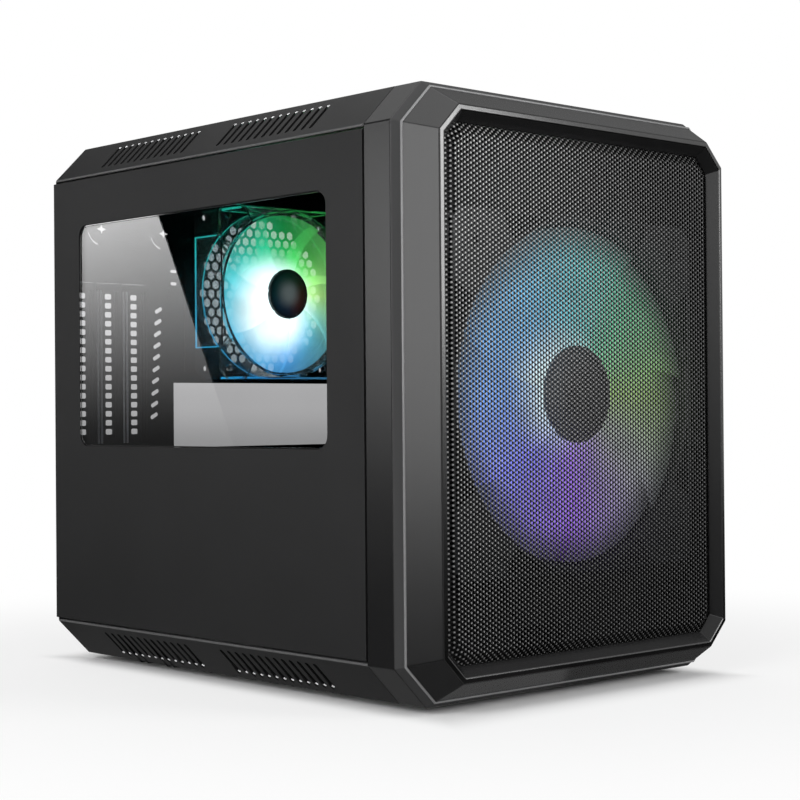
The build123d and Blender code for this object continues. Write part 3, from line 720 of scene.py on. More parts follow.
# Light grey on the ridge round the moulded front: a painted highlight along it.
moulded_edge = finish_material(
    "moulded_edge", (0.15, 0.15, 0.152), (0.18, 0.18, 0.182), (0.3, 0.4), 2600.0, 0.1, specular=0.4
)
# Light grey for the plates at the slots' ends: a painted highlight.
cut_edge = finish_material(
    "cut_edge", (0.62, 0.62, 0.63), (0.72, 0.72, 0.73), (0.45, 0.6), 2400.0, 0.1
)
filter_cloth = finish_material(
    "filter_cloth", 0.003, 0.005, (0.8, 0.95), 4000.0, 0.6, specular=0.05
)
acrylic = acrylic_material()
edge_acrylic = finish_material(
    "edge_acrylic", 0.012, 0.016, (0.04, 0.06), 900.0, 0.0, specular=1.0
)
rubber = finish_material("foot_rubber", 0.012, 0.02, (0.7, 0.85), 1800.0, 0.4)
foam = finish_material("foam", 0.01, 0.02, (0.85, 0.95), 1500.0, 0.8)
plated = finish_material(
    "plated_steel", (0.45, 0.45, 0.46), (0.6, 0.6, 0.61), (0.22, 0.34), 1200.0, 0.15,
    metallic=1.0, stretch=(1.0, 0.1, 1.0),
)
brass = finish_material(
    "brass", (0.55, 0.38, 0.14), (0.68, 0.49, 0.2), (0.22, 0.35), 1500.0, 0.15, metallic=1.0
)
board = finish_material(
    "board_green", (0.008, 0.035, 0.018), (0.012, 0.05, 0.025), (0.3, 0.45), 900.0, 0.3
)
socket_black = finish_material("socket_black", 0.01, 0.016, (0.35, 0.5), 2400.0, 0.25)
screw_black = finish_material(
    "screw_black", (0.02, 0.02, 0.021), (0.035, 0.035, 0.036), (0.3, 0.42), 1800.0, 0.2, metallic=0.8
)
clear_plastic = finish_material(
    "clear_frame", (0.80, 0.88, 0.90), (0.86, 0.93, 0.95), (0.02, 0.05), 300.0, 0.05
)
Graph(clear_plastic.node_tree).dress({"Transmission Weight": 0.93, "IOR": 1.25})
hub_black = finish_material(
    "hub_black", (0.012, 0.014, 0.016), (0.02, 0.022, 0.026), (0.18, 0.28), 900.0, 0.1
)
hub_grey = finish_material(
    "hub_grey", (0.09, 0.09, 0.095), (0.12, 0.12, 0.125), (0.4, 0.5), 900.0, 0.1
)
lens_clear = finish_material(
    "lens_clear", (0.7, 0.78, 0.85), (0.8, 0.86, 0.92), (0.1, 0.2), 900.0, 0.1
)
rear_glow = glow_material(
    "rear_glow", 56 * MM, (17 * MM, 43 * MM), (-12 * MM, -10 * MM),
    [
        (0.12, 0.80, 0.95), (0.15, 0.65, 1.0), (0.10, 0.45, 0.95), (0.15, 0.55, 0.65),
        (0.42, 0.80, 0.25), (0.12, 0.62, 0.12), (0.02, 0.45, 0.10), (0.04, 0.60, 0.36),
    ],
    (2.5, 4.6), 0.27,
)
edge_glow = glow_material(
    "edge_glow", 90 * MM, (0, 1 * MM), (0, 0),
    [
        (0.04, 0.45, 0.60), (0.03, 0.50, 0.95), (0.03, 0.25, 0.60), (0.05, 0.20, 0.30),
        (0.10, 0.35, 0.10), (0.03, 0.40, 0.08), (0.02, 0.30, 0.06), (0.02, 0.75, 0.60),
    ],
    (2.0, 2.0), 1.0,
)
rear_face_glow = glow_material(
    "rear_hub_face", rear_fan.hub, (2 * MM, 13 * MM), (0, 0),
    [
        (0.03, 0.30, 0.34), (0.03, 0.20, 0.40), (0.05, 0.12, 0.30), (0.40, 0.12, 0.10),
        (0.30, 0.12, 0.05), (0.06, 0.20, 0.06), (0.02, 0.28, 0.14), (0.02, 0.28, 0.24),
    ],
    (0.12, 0.3), 1.0, 0.15,
)
front_glow = glow_material(
    "front_glow", 96 * MM, (9 * MM, 44 * MM), (-13 * MM, 3 * MM),
    [
        (0.16, 0.38, 0.95), (0.20, 0.18, 0.90), (0.34, 0.14, 0.85), (0.38, 0.36, 0.45),
        (0.30, 0.50, 0.14), (0.10, 0.52, 0.26), (0.08, 0.50, 0.55), (0.12, 0.45, 0.80),
    ],
    (0.92, 0.95), 0.9, 0.08,
)


# Covers, panels and the moulded front


def corner_slot_places():
    """Where the slots of a sloping corner lie along Y, in both groups."""
    middle = (vent_slot_count - 1) / 2
    return [
        y_seam + group + (index - middle) * vent_slot_pitch
        for group in vent_groups
        for index in range(vent_slot_count)
    ]


def corner_slot_loops(path, lengths):
    """The slots of both sloping corners, drawn on the flat pattern."""
    slopes = [
        i for i, (a, b) in enumerate(zip(path, path[1:]))
        if abs(abs(b.x - a.x) - abs(b.y - a.y)) < 1e-6 and (b - a).length > vent_slot_length
    ]
    return [
        rounded_loop(
            ((lengths[i] + lengths[i + 1]) / 2, y),
            vent_slot_length, vent_slot_width, vent_slot_width / 2 * slot_end_share,
        )
        for i in slopes
        for y in corner_slot_places()
    ]


def floor_slot_loops(path, lengths):
    """Intake slots under the power supply, on the flat pattern of the bottom cover."""
    flat = max(range(len(path) - 1), key=lambda i: (path[i + 1] - path[i]).length)
    direction = 1 if path[flat + 1].x > path[flat].x else -1
    u = lengths[flat] + direction * (psu_centre[0] - path[flat].x)
    middle = (floor_slot_count - 1) / 2
    return [
        rounded_loop(
            (u, floor_slots_y + (i - middle) * floor_slot_pitch),
            floor_slot_length, floor_slot_width, floor_slot_width / 2 * slot_end_share,
        )
        for i in range(floor_slot_count)
    ]


def cover_path(flip):
    """The folded cover's section from one side to the other. flip turns it upside down."""
    hem = side_top - cover_hem
    half = [
        (half_width - corner_leg, body_top),
        (half_width, side_top),
        (half_width, hem),
        (half_width - cover_flange, hem),
    ]
    points = [(-x, z) for x, z in reversed(half)] + half
    if flip:
        points = [(x, 2 * body_mid - z) for x, z in reversed(points)]
    return points


def make_covers():
    radii = (hem_radius, lip_radius, fold_radius, fold_radius, lip_radius, hem_radius)
    for node, flip in (("top_cover", False), ("bottom_cover", True)):
        def holes(path, lengths, flip=flip):
            loops = corner_slot_loops(path, lengths)
            return loops + floor_slot_loops(path, lengths) if flip else loops

        obj = folded_sheet(f"{node}_sheet", cover_path(flip), radii, y_seam, y_cover_end, holes)
        smooth_below(obj, 40.0)
        fit_out(obj, node, cover_coat)
        make_slot_ends(node, flip)
        make_filters(node, flip)


def slope_frames(flip):
    """For both sloping corners of a cover: turns the slope's frame into place.

    The frame's x runs up the slope to the flat, its y is Y and its z points outward.
    """
    z_out = -1 if flip else 1
    frames = []
    for side in (-1, 1):
        up = Vector((-side, 0, z_out)).normalized()
        out = Vector((side, 0, z_out)).normalized()
        x = side * (half_width - corner_leg / 2)
        z = body_mid + z_out * (side_top + corner_leg / 2 - body_mid)
        frames.append(Matrix(((up.x, 0, out.x, x), (0, 1, 0, 0), (up.z, 0, out.z, z), (0, 0, 0, 1))))
    return frames


def make_slot_ends(node, flip):
    """Light grey plates at the inner end of each slot, where the slot's end wall catches the light: a
    painted highlight.
    """
    bm = bmesh.new()
    outer = vent_slot_width / 2
    x_centre = vent_slot_length / 2 - outer
    reach = math.radians(70)
    for slope in slope_frames(flip):
        for y in corner_slot_places():
            inside, outside = (
                arc_points((x_centre, y), radius, -reach, reach, 6)
                for radius in (outer - slot_end_plate_width, outer)
            )
            plate = flat_mesh([outside + inside[::-1]], sheet)
            add_into(bm, plate, slope @ Matrix.Translation((0, 0, -sheet / 2)))
    bmesh.ops.recalc_face_normals(bm, faces=bm.faces)
    piece(f"{node}_slot_ends", bm, node, cut_edge)


def make_filters(node, flip):
    """Dark filter cloth behind each group of slots."""
    bm = bmesh.new()
    reach = (vent_slot_count / 2 + 0.5) * vent_slot_pitch
    half = vent_slot_length / 2 + filter_margin
    for slope in slope_frames(flip):
        for group in vent_groups:
            middle = y_seam + group
            low = (-half, middle - reach, -filter_depth - filter_thickness)
            add_into(bm, box_mesh(low, (half, middle + reach, -filter_depth)), slope)
    bmesh.ops.recalc_face_normals(bm, faces=bm.faces)
    piece(f"{node}_filters", bm, node, filter_cloth)


def make_ridge():
    """A thin rounded ridge that runs round the moulded front, at its shoulder, painted light grey as a
    painted highlight.
    """
    bm = bmesh.new()
    rings = []
    sides = 10
    for k in range(sides):
        angle = math.tau * k / sides
        loop = octagon_loop(ridge_inset + ridge_radius * math.cos(angle))
        y = y_seam - ridge_depth - ridge_radius * math.sin(angle)
        rings.append([bm.verts.new((x, y, z)) for x, z in loop])
    bridge(bm, rings)
    bmesh.ops.recalc_face_normals(bm, faces=bm.faces)
    piece("front_bezel_ridge", bm, "front_bezel", moulded_edge, smooth=44.0)


def make_window_rim():
    """The polished edge of the window, just inside the opening in the panel."""
    centre = (sum(window_y) / 2, sum(window_z) / 2)
    size = (window_y[1] - window_y[0], window_z[1] - window_z[0])
    loops = [
        rounded_loop(centre, size[0] - 2 * inset, size[1] - 2 * inset, window_corner - inset, steps=12)
        for inset in window_rim_insets
    ]
    x = -half_width + window_rim_depth
    place = Matrix(((0, 0, 1, x), (1, 0, 0, 0), (0, 1, 0, 0), (0, 0, 0, 1)))
    bm = bmesh.new()
    add_into(bm, flat_mesh(loops, window_rim_thickness), place)
    obj = link("window_rim", mesh_from(bm, "window_rim"))
    bevel(obj, 0.08 * MM)
    fit_out(obj, None, edge_acrylic, body="left_panel")


def make_panels():
    for node in ("left_side_panel", "right_side_panel"):
        rounded_copy(node, coat, 0.3 * MM)
    paint("side_window", acrylic)
    make_window_rim()
    for node in ("left_thumbscrews", "right_thumbscrews"):
        rounded_copy(node, screw_black, 0.35 * MM)
    rounded_copy("front_bezel", moulded, 0.7 * MM, segments=3)
    make_ridge()
    rounded_copy("rubber_feet", rubber, 1.0 * MM, segments=3)


def make_plain_pieces():
    """The pieces inside and the controls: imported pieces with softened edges."""
    for nodes, material, width, slot, segments in (
        (("motherboard_tray", "drive_cage", "front_plate"), inside_coat_painted_shade, 0.2, "black_steel", 1),
        (("board_standoffs",), brass, 0.15, "brass", 1),
        (("window_tape", "power_supply_pads"), foam, 0.1, "foam_tape", 1),
        (("power_button", "reset_button"), moulded, 0.3, "black_plastic", 2),
        (("usb_port_1", "usb_port_2"), plated, 0.15, "socket_metal", 1),
        (("audio_jack", "power_switch", "reset_switch"), socket_black, 0.15, "socket_plastic", 1),
        (("io_board",), board, 0.15, "circuit_board", 1),
        (("power_lens",), lens_clear, 0.2, "lens", 2),
    ):
        for node in nodes:
            rounded_copy(node, material, width * MM, segments)


# Rear wall


def hexagon_loop(centre, flats):
    """A hexagon with a point at its top."""
    radius = flats / math.sqrt(3)
    return arc_points(centre, radius, math.pi / 2, math.pi / 2 + math.tau, 6)[:-1]


def vent_loops():
    """Hexagonal holes that fill a circle round the rear fan's axis."""
    row_pitch = vent_pitch * math.sqrt(3) / 2
    reach = int(vent_radius / row_pitch) + 1
    loops = []
    for row in range(-reach, reach + 1):
        for column in range(-reach, reach + 1):
            x = (column + (row % 2) / 2) * vent_pitch
            z = row * row_pitch
            if math.hypot(x, z) <= vent_radius:
                loops.append(hexagon_loop((rear_fan_x + x, rear_fan_z + z), vent_flats))
    return loops


def knockout_loops(x):
    """A star shaped hole, and the curved cut that lets the knock-out bend away."""
    star = []
    for index in range(8):
        radius = knockout_waist if index % 2 else knockout_star
        star.append(point_at((x, knockout_z), radius, index * math.pi / 4))
    start, end = knockout_cut_middle - knockout_cut_reach, knockout_cut_middle + knockout_cut_reach
    outer = arc_points((x, knockout_z), knockout_radius + knockout_cut / 2, start, end, 10)
    inner = arc_points((x, knockout_z), knockout_radius - knockout_cut / 2, end, start, 10)
    return [star, outer + inner]


def slot_places():
    return [slot_first + index * slot_pitch for index in range(3)]


def cross_loop(centre, wide, tall):
    """The outline of the power supply's opening: a rectangle with notched corners."""
    quarter = [wide, (tall[0], wide[1]), tall]
    loop = []
    for a, b, points in (
        (1, 1, quarter), (-1, 1, quarter[::-1]), (-1, -1, quarter), (1, -1, quarter[::-1])
    ):
        loop += [(centre[0] + a * x, centre[1] + b * z) for x, z in points]
    return loop


def lean_slot_loops():
    """The leaning row of short slots beside the slot covers."""
    loops = []
    for index in range(lean_slot_count):
        shift = (index - (lean_slot_count - 1) / 2) * lean_slot_pitch
        place = (
            lean_row[0] - shift * math.sin(lean_row_angle),
            lean_row[1] + shift * math.cos(lean_row_angle),
        )
        loops.append(rounded_loop(
            place, lean_slot_length, lean_slot_width, lean_slot_width / 2 * lean_slot_end_share,
            lean_slot_tilt + lean_row_angle,
        ))
    return loops


def screw_loops():
    """Round holes for the rear fan's screws and square ones for the thumbscrews."""
    loops = []
    offset = rear_fan.hole_offset
    for a in (-1, 1):
        for b in (-1, 1):
            loops.append(circle_loop((rear_fan_x + a * offset, rear_fan_z + b * offset), rear_fan.hole))
            loops.append(rounded_loop(
                (a * (half_width - thumb_inset), body_mid + b * thumb_spread),
                2 * thumb_hole, 2 * thumb_hole, thumb_hole_corner,
            ))
    return loops


def rear_wall_loops():
    loops = [
        octagon_loop(liner_inset),
        rectangle_loop(io_left, io_left + io_width, io_bottom, io_bottom + io_height),
        cross_loop(psu_centre, psu_wide, psu_tall),
    ]
    for x in slot_places():
        half = slot_open_width / 2
        loops.append(rectangle_loop(x - half, x + half, slot_open_low, slot_open_high))
        half = tab_width / 2 + tab_gap
        loops.append(rectangle_loop(x - half, x + half, ledge_z, ledge_z + tab_slit))
    loops += vent_loops()
    for x in knockout_x:
        loops += knockout_loops(x)
    for z in tie_slot_z:
        loops.append(rounded_loop((tie_slot_x, z), *tie_slot_size))
    return loops + lean_slot_loops() + screw_loops()


def rim_strip(target):
    """The wall's folded rim: over the top, the bottom, the sloping corners and the sides."""
    y_front = y_wall_in - rim_fold
    outer, inner = (
        [(x, z) for x, z in octagon_loop(inset) if z > body_mid]
        for inset in (liner_inset, liner_inset + sheet)
    )
    upper = outer + inner[::-1]
    lower = [(x, 2 * body_mid - z) for x, z in upper]
    for loop in (upper, lower):
        add_into(target, flat_mesh([loop], rim_fold), upright(y_front + rim_fold / 2))
    for side in (-1, 1):
        outer = side * (half_width - side_fold_inset)
        inner = outer - side * sheet
        add_into(target, box_mesh(
            (min(inner, outer), y_front, side_low + side_fold_margin),
            (max(inner, outer), y_wall_in, side_top - side_fold_margin),
        ))


def rib_mesh(x, z_low, z_high, y_root):
    """A pressed rib: a low ridge along Z with sloping flanks and ends, raised towards -Y."""
    bm = bmesh.new()
    root, crest = (
        [
            bm.verts.new((a, y, b))
            for a, b in rectangle_loop(x - half, x + half, z_low + slope, z_high - slope)
        ]
        for half, slope, y in (
            (rib_root_half, 0, y_root + overlap),
            (rib_crest_half, rib_end_slope, y_root - rib_height),
        )
    )
    bm.faces.new(root)
    bm.faces.new(crest)
    for i in range(4):
        j = (i + 1) % 4
        bm.faces.new((root[i], root[j], crest[j], crest[i]))
    bmesh.ops.recalc_face_normals(bm, faces=bm.faces)
    return bm


def make_rear_panel():
    bm = bmesh.new()
    add_into(bm, flat_mesh(rear_wall_loops(), sheet), upright(y_wall_in + sheet / 2))
    rim_strip(bm)
    for x, z_low, z_high in wall_ribs:
        add_into(bm, rib_mesh(x, z_low, z_high, y_wall_in))
    half = tab_width / 2 + sheet
    add_into(bm, box_mesh(
        (slot_places()[0] - half, y_wall_out - overlap, ledge_z - sheet),
        (slot_places()[-1] + half, y_wall_out + ledge_depth, ledge_z),
    ))
    piece("rear_wall", bm, "rear_panel", wall_coat, smooth=32.0)


def tab_loop(x, y_end):
    """The bent end of a slot cover, with a notch for its screw that is open to the rear."""
    notch = rounded_loop((x, y_end), 2 * notch_half, notch_length, notch_corner)
    notch.sort(key=lambda point: -point[0])
    y_start = y_wall_in - overlap
    return [
        (x - tab_width / 2, y_start),
        (x + tab_width / 2, y_start),
        (x + tab_width / 2, y_end),
        (x + notch_half, y_end),
        *(point for point in notch if point[1] < y_end - notch_lip),
        (x - notch_half, y_end),
        (x - tab_width / 2, y_end),
    ]


def make_slot_covers():
    """Pierced strips with pressed ribs. The two ribs on their -X side are painted near white: a painted
    highlight.
    """
    for number, x in enumerate(slot_places(), start=1):
        node = f"slot_cover_{number}"
        low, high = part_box(node)
        loops = [rectangle_loop(x - cover_width / 2, x + cover_width / 2, low.z, high.z)]
        for index in range(cover_hole_count):
            place = (x, cover_hole_first + index * cover_hole_pitch)
            loops.append(rounded_loop(place, *cover_hole_size))
        bm = bmesh.new()
        add_into(bm, flat_mesh(loops, sheet), upright(y_wall_in - sheet / 2))
        painted_highlight = bmesh.new()
        ends = (low.z + cover_rib_margin, ledge_z - cover_rib_margin)
        for offset in cover_ribs:
            for place, target in ((x + offset, painted_highlight), (x - offset, bm)):
                add_into(target, rib_mesh(place, *ends, y_wall_in - sheet))
        tab = flat_mesh([tab_loop(x, high.y)], sheet)
        add_into(bm, tab, Matrix.Translation((0, 0, ledge_z + sheet / 2)))
        piece(f"{node}_ribs", painted_highlight, node, worn_coat)
        piece(f"{node}_strip", bm, node, wall_coat, smooth=32.0)


# Perforated tray


def tray_depth(inset):
    """How far the tray's sheet stands out from the seam, by its distance from the outline."""
    share = (inset - tray_bend_inset) / (tray_face_inset - tray_bend_inset)
    share = min(max(share, 0.0), 1.0)
    return tray_seat_depth + (tray_face_depth - tray_seat_depth) * share


def tray_holes():
    """The middles of the tray's holes by column and row. Odd columns are half a row higher."""
    column_pitch = tray_hole_pitch * math.sqrt(3) / 2
    columns = int(half_width / column_pitch) + 1
    rows = int((body_top - body_low) / 2 / tray_hole_pitch) + 1
    holes = {}
    for column in range(-columns, columns + 1):
        for row in range(-rows, rows + 1):
            x = column * column_pitch
            z = body_mid + (row + (column % 2) / 2) * tray_hole_pitch
            if inset_at(x, z) > tray_bend_inset - tray_hole_margin:
                holes[column, row] = (x, z)
    return holes


def neighbours(key):
    """The keys of the holes above, upper right and lower right of a hole."""
    column, row = key
    odd = column % 2
    return (column, row + 1), (column + 1, row + odd), (column + 1, row - 1 + odd)


def tray_shapes(key, holes):
    """The bars and knots to the right of a hole and above it, each as corners of holes.

    A corner is a hole's key and a number, counted from the hole's right corner upward.
    """
    above, upper, lower = neighbours(key)
    shapes = []
    for other, own, theirs in (
        (above, (1, 2), (5, 4)), (upper, (0, 1), (4, 3)), (lower, (5, 0), (3, 2))
    ):
        if other in holes:
            shapes.append(((key, own[0]), (other, theirs[0]), (other, theirs[1]), (key, own[1])))
    if above in holes and upper in holes:
        shapes.append(((key, 1), (upper, 3), (above, 5)))
    if upper in holes and lower in holes:
        shapes.append(((key, 0), (lower, 2), (upper, 4)))
    return shapes


def tray_half_mesh(keys, holes):
    """Staggered holes with six sides: bars between neighbours and knots between three."""
    bm = bmesh.new()
    radius = tray_hole_flats / math.sqrt(3)
    vertices = {}

    def vertex(key, corner, side):
        label = (key, corner % 6, side)
        if label not in vertices:
            x, z = point_at(holes[key], radius, corner * math.pi / 3)
            y = y_seam - tray_depth(inset_at(x, z)) + side * sheet
            vertices[label] = bm.verts.new((x, y, z))
        return vertices[label]

    hole_walls = set()
    for key in keys:
        for shape in tray_shapes(key, holes):
            for side in (0, 1):
                corners = [vertex(hole, corner, side) for hole, corner in shape]
                bm.faces.new(corners[::-1] if side else corners)
            if len(shape) == 4:
                hole_walls.add(shape[0])
                hole_walls.add(shape[2])
    for key, corner in hole_walls:
        bm.faces.new((
            vertex(key, corner, 0), vertex(key, corner + 1, 0),
            vertex(key, corner + 1, 1), vertex(key, corner, 1),
        ))
    return bm


def make_tray():
    """The tray in two halves. The left one has the border too."""
    holes = tray_holes()
    for part in ("left", "right"):
        bm = tray_half_mesh([key for key in holes if (key[0] < 0) == (part == "left")], holes)
        if part == "left":
            border = [
                octagon_loop(inset)
                for inset in (tray_border_inset, tray_border_inset + tray_border_width)
            ]
            add_into(bm, flat_mesh(border, sheet), upright(y_seam - tray_seat_depth + sheet / 2))
        bmesh.ops.recalc_face_normals(bm, faces=bm.faces)
        piece(f"front_mesh_{part}", bm, "front_mesh", tray_paint)


# Fans


def on_circle(bm, radius, y, angle):
    """A new vertex at an angle round the Y axis."""
    return bm.verts.new((radius * math.cos(angle), y, radius * math.sin(angle)))


def ring_mesh(inner, outer, y_low, y_high, steps=96, soften=0.0):
    """A band round the Y axis with optional softened edges."""
    s = soften
    profile = [
        (inner, y_low + s), (inner + s, y_low), (outer - s, y_low), (outer, y_low + s),
        (outer, y_high - s), (outer - s, y_high), (inner + s, y_high), (inner, y_high - s),
    ]
    bm = bmesh.new()
    bridge(bm, [
        [on_circle(bm, r, y, math.tau * i / steps) for r, y in profile] for i in range(steps)
    ])
    bmesh.ops.remove_doubles(bm, verts=bm.verts, dist=1e-7)
    bmesh.ops.recalc_face_normals(bm, faces=bm.faces)
    return bm


def turned_mesh(profile, steps=96):
    """A closed solid turned round the Y axis. The profile starts and ends on the axis."""
    bm = bmesh.new()
    rings = [
        [on_circle(bm, r, y, math.tau * i / steps) for i in range(steps if r else 1)]
        for r, y in profile
    ]
    for a, b in zip(rings, rings[1:]):
        for i in range(steps):
            k = (i + 1) % steps
            if len(a) == 1:
                bm.faces.new((a[0], b[k], b[i]))
            elif len(b) == 1:
                bm.faces.new((a[i], a[k], b[0]))
            else:
                bm.faces.new((a[i], a[k], b[k], b[i]))
    bmesh.ops.recalc_face_normals(bm, faces=bm.faces)
    return bm


def blade_mesh(fan):
    """One fan blade: a thin bowed sheet, swept, narrower and flatter as it goes outward.

    Its share of the way outward is out, and its share of the way round the chord is c.
    """
    across, along = 10, 8
    root = fan.hub * 0.97
    middle = blade_front - fan.depth + fan.blade_depth / 2
    bm = bmesh.new()
    grid = {}
    for side in (0, 1):
        for i in range(across + 1):
            out = i / across
            radius = root + (fan.tip - root) * out
            turn = blade_turn * (1.08 - 0.16 * out)
            sweep = blade_sweep * out ** 1.4
            depth = fan.blade_depth * (1.0 - 0.28 * out)
            for j in range(along + 1):
                c = j / along
                taper = math.sin(math.pi * min(max(c, 0.04), 0.96)) ** 0.5
                y = middle + depth * (c - 0.5) + blade_bow * math.sin(math.pi * c)
                y += (side - 0.5) * blade_thickness * taper
                grid[side, i, j] = on_circle(bm, radius, y, turn * (c - 0.5) + sweep)

    def quad(*keys):
        bm.faces.new([grid[key] for key in keys])

    for i in range(across):
        for j in range(along):
            quad((0, i, j), (0, i + 1, j), (0, i + 1, j + 1), (0, i, j + 1))
            quad((1, i, j), (1, i, j + 1), (1, i + 1, j + 1), (1, i + 1, j))
        for j in (0, along):
            quad((0, i, j), (1, i, j), (1, i + 1, j), (0, i + 1, j))
    for j in range(along):
        for i in (0, across):
            quad((0, i, j), (0, i, j + 1), (1, i, j + 1), (1, i, j))
    bmesh.ops.recalc_face_normals(bm, faces=bm.faces)
    return bm


def make_rotor(fan, glow, face):
    """Blades and drum of milky plastic, with a dark cap that has a ring groove near its edge."""
    node = f"{fan.name}_fan_rotor"
    hub = fan.hub
    y_front = -fan.depth
    cap_end = y_front + cap_thickness
    blades = bmesh.new()
    for index in range(blade_count):
        turn = Matrix.Rotation(-math.tau * index / blade_count, 4, "Y")
        add_into(blades, blade_mesh(fan), turn)
    drum = hub - 0.4 * MM
    add_into(blades, turned_mesh([(0, cap_end), (drum, cap_end), (drum, drum_back), (0, drum_back)]))
    piece(f"{fan.name}_rotor_blades", blades, node, glow, 50.0, fan.centre)
    edge = 0.8 * MM
    dish = y_front + 0.6 * MM
    groove = hub * 0.84
    cap = turned_mesh([
        (0, dish), (groove - 1.0 * MM, dish), (groove, y_front + edge),
        (groove + 0.5 * MM, y_front + edge), (groove + 0.9 * MM, y_front), (hub - edge, y_front),
        (hub, y_front + edge), (hub, cap_end), (0, cap_end),
    ])
    piece(f"{fan.name}_rotor_hub", cap, node, face, 30.0, fan.centre)


def lug_loop(sx, sz, inner, half, cut, corner):
    """A corner plate of the frame, between the ring and the square's corner."""
    reach = half - 1.0 * MM
    points = [(half, cut), (half, half - corner), (half - corner, half), (cut, half)]
    points += arc_points((0, 0), inner, math.atan2(reach, cut), math.atan2(cut, reach), 10)
    loop = [(sx * x, sz * z) for x, z in points]
    return loop if sx * sz > 0 else loop[::-1]


def add_four_boxes(target, low, high, start=0.0):
    """Adds a box and three copies of it, a quarter turn apart round the Y axis."""
    for turn in range(4):
        add_into(target, box_mesh(low, high), Matrix.Rotation(start + turn * math.pi / 2, 4, "Y"))


def make_fan_frame(fan, material):
    """Housing: a band, four corner lugs at each face, flat walls, struts and a motor base."""
    band = 2.2 * MM
    lug_bore = fan.bore + 1.6 * MM
    lug_corner = 6.0 * MM
    plate = 2.6 * MM
    bm = ring_mesh(fan.bore, fan.bore + band, -fan.depth, 0, soften=0.4 * MM)
    for sx in (-1, 1):
        for sz in (-1, 1):
            for y in (-fan.depth + plate / 2, -plate / 2):
                loops = [
                    lug_loop(sx, sz, lug_bore, fan.half, fan.flat_half, lug_corner),
                    circle_loop((sx * fan.hole_offset, sz * fan.hole_offset), fan.hole, 28),
                ]
                add_into(bm, flat_mesh(loops, plate), upright(y))
    wall = 1.4 * MM
    add_four_boxes(
        bm, (fan.half - wall, -fan.depth, -fan.flat_half), (fan.half, 0, fan.flat_half)
    )
    base = fan.hub - 2.0 * MM
    strut_half = 2.0 * MM
    add_four_boxes(
        bm, (base, -motor_base, -strut_half), (fan.bore + 1.0 * MM, 0, strut_half), math.pi / 4
    )
    chamfer = 0.4 * MM
    add_into(bm, turned_mesh([
        (0, -motor_base), (base, -motor_base), (base + chamfer, chamfer - motor_base),
        (base + chamfer, 0), (0, 0),
    ], 64))
    node = f"{fan.name}_fan_frame"
    piece(f"{fan.name}_fan_housing", bm, node, material, 35.0, fan.centre)


def make_lit_edges(fan, glow):
    """Narrow strips along the clear housing's flat sides, where the light comes out."""
    bm = bmesh.new()
    width = 0.8 * MM
    low, high = fan.half - 1.6 * MM, fan.half - 0.4 * MM
    add_four_boxes(bm, (low, -width, -fan.flat_half), (high, 0, fan.flat_half))
    for side in (-1, 1):
        end = side * (fan.flat_half - width / 2)
        add_four_boxes(
            bm, (low, -fan.depth * 0.8, end - width / 2), (high, -width, end + width / 2)
        )
    ring_outer = fan.half - 0.8 * MM
    ring_y = -7.8 * MM
    add_into(bm, ring_mesh(ring_outer - 1.0 * MM, ring_outer, ring_y - width, ring_y))
    node = f"{fan.name}_fan_frame"
    piece(f"{fan.name}_fan_lit_edges", bm, node, glow, at=fan.centre)


def make_fans():
    make_rotor(rear_fan, rear_glow, rear_face_glow)
    make_rotor(front_fan, front_glow, hub_grey)
    make_fan_frame(rear_fan, clear_plastic)
    make_lit_edges(rear_fan, edge_glow)
    make_fan_frame(front_fan, hub_black)


# Camera, lights and ground


def make_camera():
    """A camera where the photograph's was, worked out from the outline of the body."""
    place = Vector(camera_place) * MM
    yaw, pitch, roll = (math.radians(angle) for angle in camera_angles)
    ahead = Vector((
        math.sin(yaw) * math.cos(pitch), math.cos(yaw) * math.cos(pitch), math.sin(pitch)
    ))
    right = Vector((math.cos(yaw), -math.sin(yaw), 0))
    up = right.cross(ahead)
    right, up = (
        right * math.cos(roll) + up * math.sin(roll),
        up * math.cos(roll) - right * math.sin(roll),
    )
    camera = link("camera", bpy.data.cameras.new("camera"))
    camera.matrix_world = Matrix((
        (right.x, up.x, -ahead.x, place.x),
        (right.y, up.y, -ahead.y, place.y),
        (right.z, up.z, -ahead.z, place.z),
        (0, 0, 0, 1),
    ))
    camera.data.sensor_width = 36.0
    camera.data.lens = camera.data.sensor_width * camera_focal
    camera.data.clip_start = 0.05
    camera.data.clip_end = 50
    bpy.context.scene.camera = camera


def seen_rays(graph):
    """1 for rays that show the background itself: from the camera, in gloss and through glass."""
    total = graph.add("LightPath", {}, "Is Camera Ray")
    for name in ("Is Glossy Ray", "Is Transmission Ray"):
        total = graph.maths("MAXIMUM", total, graph.add("LightPath", {}, name))
    return total


def make_world(level):
    world = bpy.data.worlds.new("studio")
    bpy.context.scene.world = world
    world.use_nodes = True
    graph = Graph(world.node_tree)
    background = graph.nodes["Background"].inputs
    background["Color"].default_value = (1, 1, 1, 1)
    strength = graph.ramp(seen_rays(graph), 0.0, 1.0, level, 1.0, smooth=False)
    graph.put(background["Strength"], strength)


def reach_round_body(graph, half_x, half_y):
    """1 on the edge of a rectangle round the middle, less inside and more outside."""
    place = graph.axes()
    return graph.maths("MAXIMUM", *(
        graph.maths("DIVIDE", graph.maths("ABSOLUTE", place[axis]), half)
        for axis, half in (("X", half_x), ("Y", half_y))
    ))


